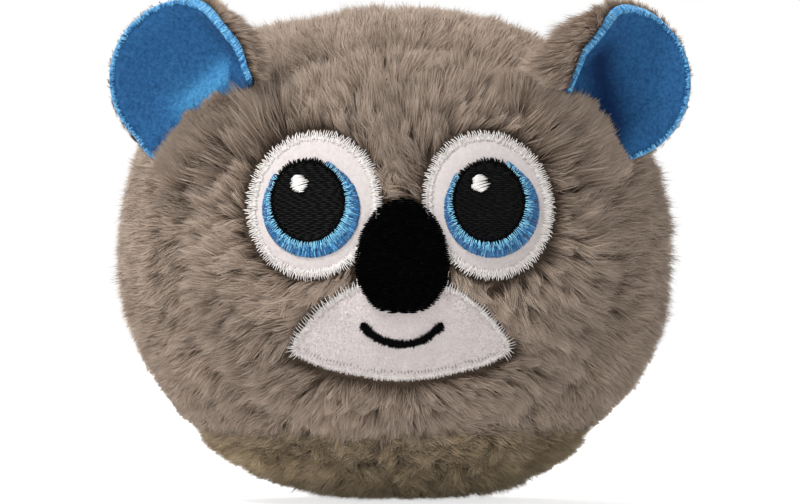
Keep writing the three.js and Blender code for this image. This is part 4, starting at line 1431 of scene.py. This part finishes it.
def ear_skirt(name, rng):
    """The face's fur where it climbs over the foot of the felt."""
    places, heights = FUR_LINES[name]
    count = SKIRT_COUNT
    across = rng.uniform(places[0], places[-1], count)
    waves = np.stack([across, np.zeros(count), np.full(count, 90.0)], axis=1)
    line = np.interp(across, places, heights) + 0.8 * lumps(waves, 2.2, 75) - 0.3
    up = line - rng.uniform(1.5, 8.0, count)
    below = smooth((-0.5 - up) / 4)
    below *= 1 - smooth((across - 4) / 5)
    height = felt_front(name, across, up) + 0.1 + rng.uniform(0, 1, count) * mix(0.5, 2.6, below)
    roots = ear_points(name, across, up, height)
    # None far outside the ball, least of all at the ear's outer foot
    level = np.sum(np.abs((roots - CENTRE) / HALF_SIZE) ** ROUNDNESS, axis=1) ** (1 / ROUNDNESS)
    within = level < 1.035 + 0.1 * smooth((8 - across) / 5)
    across, up, line, height, roots = (
        values[within] for values in (across, up, line, height, roots))
    count = len(across)
    normals = ear_front_normals(name, across, up)
    ahead = ear_points(name, across, up + 0.3, height)
    turn = 0.4 * lumps(roots, 4.0, 76) + rng.normal(0, 0.2, count)
    plant(f"ear_{name}_skirt", {
        "roots": roots, "normals": normals,
        "combs": turn_about(tangent_part(ahead - roots, normals), normals, turn),
        "lengths": np.minimum(5.6, (line - up) * rng.uniform(0.8, 1.04, count) + 0.3),
        "lift_root": rng.uniform(15, 40, count), "lift_tip": rng.normal(9, 8, count),
        "spread": 0.6, "draw_in": 0.5, "stray": 0.2, "width": 0.12,
        "tone": 0.5 + 0.13 * lumps(roots, 5.0, 77) + rng.normal(0, 0.1, count),
    }, rng, FUR, "plush_fur", each=12, segments=3, ear=name)


def rim_path(name):
    """The ear's edge from the seam up round to the seam again, at an even pitch."""
    up = ear_rows(400)[::-1]
    up = up[up > -ROOT_TAPER[name][0] - 0.15]
    right = np.stack([ear_half_width(name, np.ones_like(up), up), up], axis=1)[::-1]
    left = np.stack([-ear_half_width(name, -np.ones_like(up), up), up], axis=1)
    edge = np.concatenate([right, left[1:]])
    places = walk(edge, lambda total: np.arange(0.2, total, RIM_PITCH))
    along = unit(np.gradient(places, axis=0))
    return places, np.stack([along[:, 1], -along[:, 0]], axis=1)


def rim_stitches(name, rng):
    """The light blue stitches that bind the felt's edge to the plush.

    Each runs from the felt over the edge and round onto the plush, as s goes from 0 to 1.
    """
    places, outward = rim_path(name)
    count = len(places)
    s = np.linspace(0, 1, 8)
    crown = smooth((places[:, 1] - 8) / 10)
    folded = smooth(np.degrees(curl_heading(name, places[:, 0], places[:, 1])) / 60 - 0.6)
    reach = mix(0.8, 0.9, crown) * rng.uniform(0.5, 1.25, count) * (1 - 0.5 * folded)
    front_part = np.clip(1 - s[None, :] / 0.5, 0, 1)
    back_part = np.clip(s[None, :] / 0.4 - 1.5, 0, 1)
    wrapped = CURLED_PLUSH[name][0] * folded * rng.uniform(0.7, 1.3, count)
    inward = reach[:, None] * front_part + wrapped[:, None] * back_part - 0.1
    arch = 0.2 * np.sin(math.pi * np.clip(s / 0.6, 0, 1))
    rise = mix(1.0, -0.5, smooth((s - 0.35) / 0.3)) + arch
    rise = rise[None, :] * (1 - 0.42 * folded[:, None]) - 0.5 * folded[:, None] * back_part
    lean = rng.normal(0, 0.6, count)[:, None] * (1 - s[None, :])
    out_across, out_up = outward[:, 0, None], outward[:, 1, None]
    across = places[:, 0, None] - out_across * inward - out_up * lean
    up = places[:, 1, None] - out_up * inward + out_across * lean
    height = rise + rng.choice([0.0, 0.1, 0.18], count)[:, None] * (1 - s[None, :])
    centre = ear_points(name, across, up, height * mix(0.75, 1.0, smooth(up / PINCH_LENGTH)))
    normals = ear_front_normals(name, across, up)
    level = np.zeros_like(across)
    beyond = ear_points(name, across + 0.1 * out_across, up + 0.1 * out_up, level)
    sideways = unit(beyond - ear_points(name, across, up, level))
    turned = math.pi * smooth((s - 0.1) / 0.8)[None, :, None]
    normals = unit(normals * np.cos(turned) + sideways * np.sin(turned))
    tones = random_tones(rng, 0.52, 0.17, count)
    item = tubes(f"ear_{name}_rim", centre, normals, RIM_THREAD_WIDTH, tones, RIM_THREAD)
    dress(item, "edging_thread", f"ear_{name}_edging", ear=name)


def felt_fuzz(name, rng):
    """Loose fibres that lie on the felt."""
    across, up, edge = ear_places(name, FUZZ_COUNT, -2.0, rng)
    inner = edge > 1.0
    across, up = across[inner], up[inner]
    count = len(across)
    normals = ear_front_normals(name, across, up)
    plant(f"ear_{name}_fuzz", {
        "roots": ear_points(name, across, up, felt_front(name, across, up) - 0.02),
        "normals": normals, "combs": tangent_part(rng.normal(0, 1, (count, 3)), normals),
        "lengths": rng.uniform(0.4, 1.1, count),
        "lift_root": 20.0, "lift_tip": rng.uniform(-10, 14, count),
        "spread": 0.1, "draw_in": 0.0, "stray": 0.1, "width": 0.05,
        # The fibres' tone follows the felt's painted shade and painted light
        "tone": np.clip(2 * painted_shading_tone(name, across, up) * rng.uniform(0.1, 0.9, count), *TONES),
    }, rng, BLUE_FUZZ, "blue_felt", each=1, segments=2, ear=name)


# Stage, camera and light

# How bright the floor looks to the camera, and how strongly the white surroundings light things
FLOOR_GLOW = 0.74
WORLD_STRENGTH = 0.25


def seen_white(tree):
    """1 for what the camera sees, also mirrored or through glass, and 0 for light on things."""
    rays = tree.nodes.new("ShaderNodeLightPath")
    total = rays.outputs["Is Camera Ray"]
    for kind in ("Is Glossy Ray", "Is Transmission Ray"):
        total = compute(tree, "MAXIMUM", total, rays.outputs[kind])
    return total


def stage():
    """A pale floor that looks nearly white and takes the shadow."""
    material, tree, shader = new_material("pale_floor", 0.9, 0.1)
    shader.inputs["Base Color"].default_value = (0.86, 0.86, 0.86, 1)
    shader.inputs["Emission Color"].default_value = (1, 1, 1, 1)
    glow = compute(tree, "MULTIPLY", seen_white(tree), FLOOR_GLOW)
    tree.links.new(glow, shader.inputs["Emission Strength"])
    size = 4000.0
    corners = np.array([[-size, -size, 0], [size, -size, 0], [size, size, 0], [-size, size, 0]])
    make_mesh("floor", corners, [0, 1, 2, 3], [4], material)


def world():
    """White to the camera, and a weaker light on everything."""
    surroundings = bpy.data.worlds.new("studio")
    bpy.context.scene.world = surroundings
    surroundings.use_nodes = True
    tree = surroundings.node_tree
    background = tree.nodes["Background"]
    background.inputs["Color"].default_value = (1, 1, 1, 1)
    strength = compute(tree, "MULTIPLY_ADD", seen_white(tree), 1 - WORLD_STRENGTH, WORLD_STRENGTH)
    tree.links.new(strength, background.inputs["Strength"])


def lamp(name, place, size, power):
    """A round lamp aimed at the ball's middle; place in metres, power in watts."""
    light = bpy.data.lights.new(name, "AREA")
    light.shape = "DISK"
    light.size = size
    light.energy = power
    item = bpy.data.objects.new(name, light)
    bpy.context.scene.collection.objects.link(item)
    item.location = place
    item.rotation_euler = point_along(CENTRE * MM - np.array(place))


def point_along(direction):
    """The turn that points a lamp's or camera's -Z along a direction, with Y up."""
    return Vector(direction).to_track_quat("-Z", "Y").to_euler()


CAMERA_DISTANCE = 1050.0
CAMERA_TURN = 2.1
PIXELS_PER_MM = 5.52
BALL_MIDDLE_PX = (393.5, 254.5)


def camera():
    """Level with the ball's middle and a touch to its left, framed as the photograph is."""
    turn = math.radians(CAMERA_TURN)
    view = np.array([math.sin(turn), math.cos(turn), 0.0])
    right = np.array([math.cos(turn), -math.sin(turn), 0.0])
    aim = CENTRE.copy()
    aim += right * (IMAGE_WIDTH / 2 - BALL_MIDDLE_PX[0]) / PIXELS_PER_MM
    aim[2] += (BALL_MIDDLE_PX[1] - IMAGE_HEIGHT / 2) / PIXELS_PER_MM
    lens = bpy.data.cameras.new("camera")
    lens.sensor_width = 36.0
    lens.lens = lens.sensor_width * CAMERA_DISTANCE * PIXELS_PER_MM / IMAGE_WIDTH
    lens.clip_start = 0.01
    lens.clip_end = 20.0
    item = bpy.data.objects.new("camera", lens)
    bpy.context.scene.collection.objects.link(item)
    item.location = (aim - view * CAMERA_DISTANCE) * MM
    item.rotation_euler = point_along(view)
    bpy.context.scene.camera = item


camera()
stage()
world()
lamp("key", (-0.72, -0.55, 1.38), 0.5, 30.0)
lamp("fill", (-0.15, -1.35, 0.06), 0.5, 6.7)
lamp("back", (-0.1, 1.2, 0.9), 0.8, 10.0)
bpy.context.scene.view_settings.view_transform = "Standard"

cover()
body_fur()
for eye_name, eye_side in EYES.items():
    eye(eye_name, eye_side)
muzzle()
nose()
mouth()
for ear_name in EYES:
    ear(ear_name)
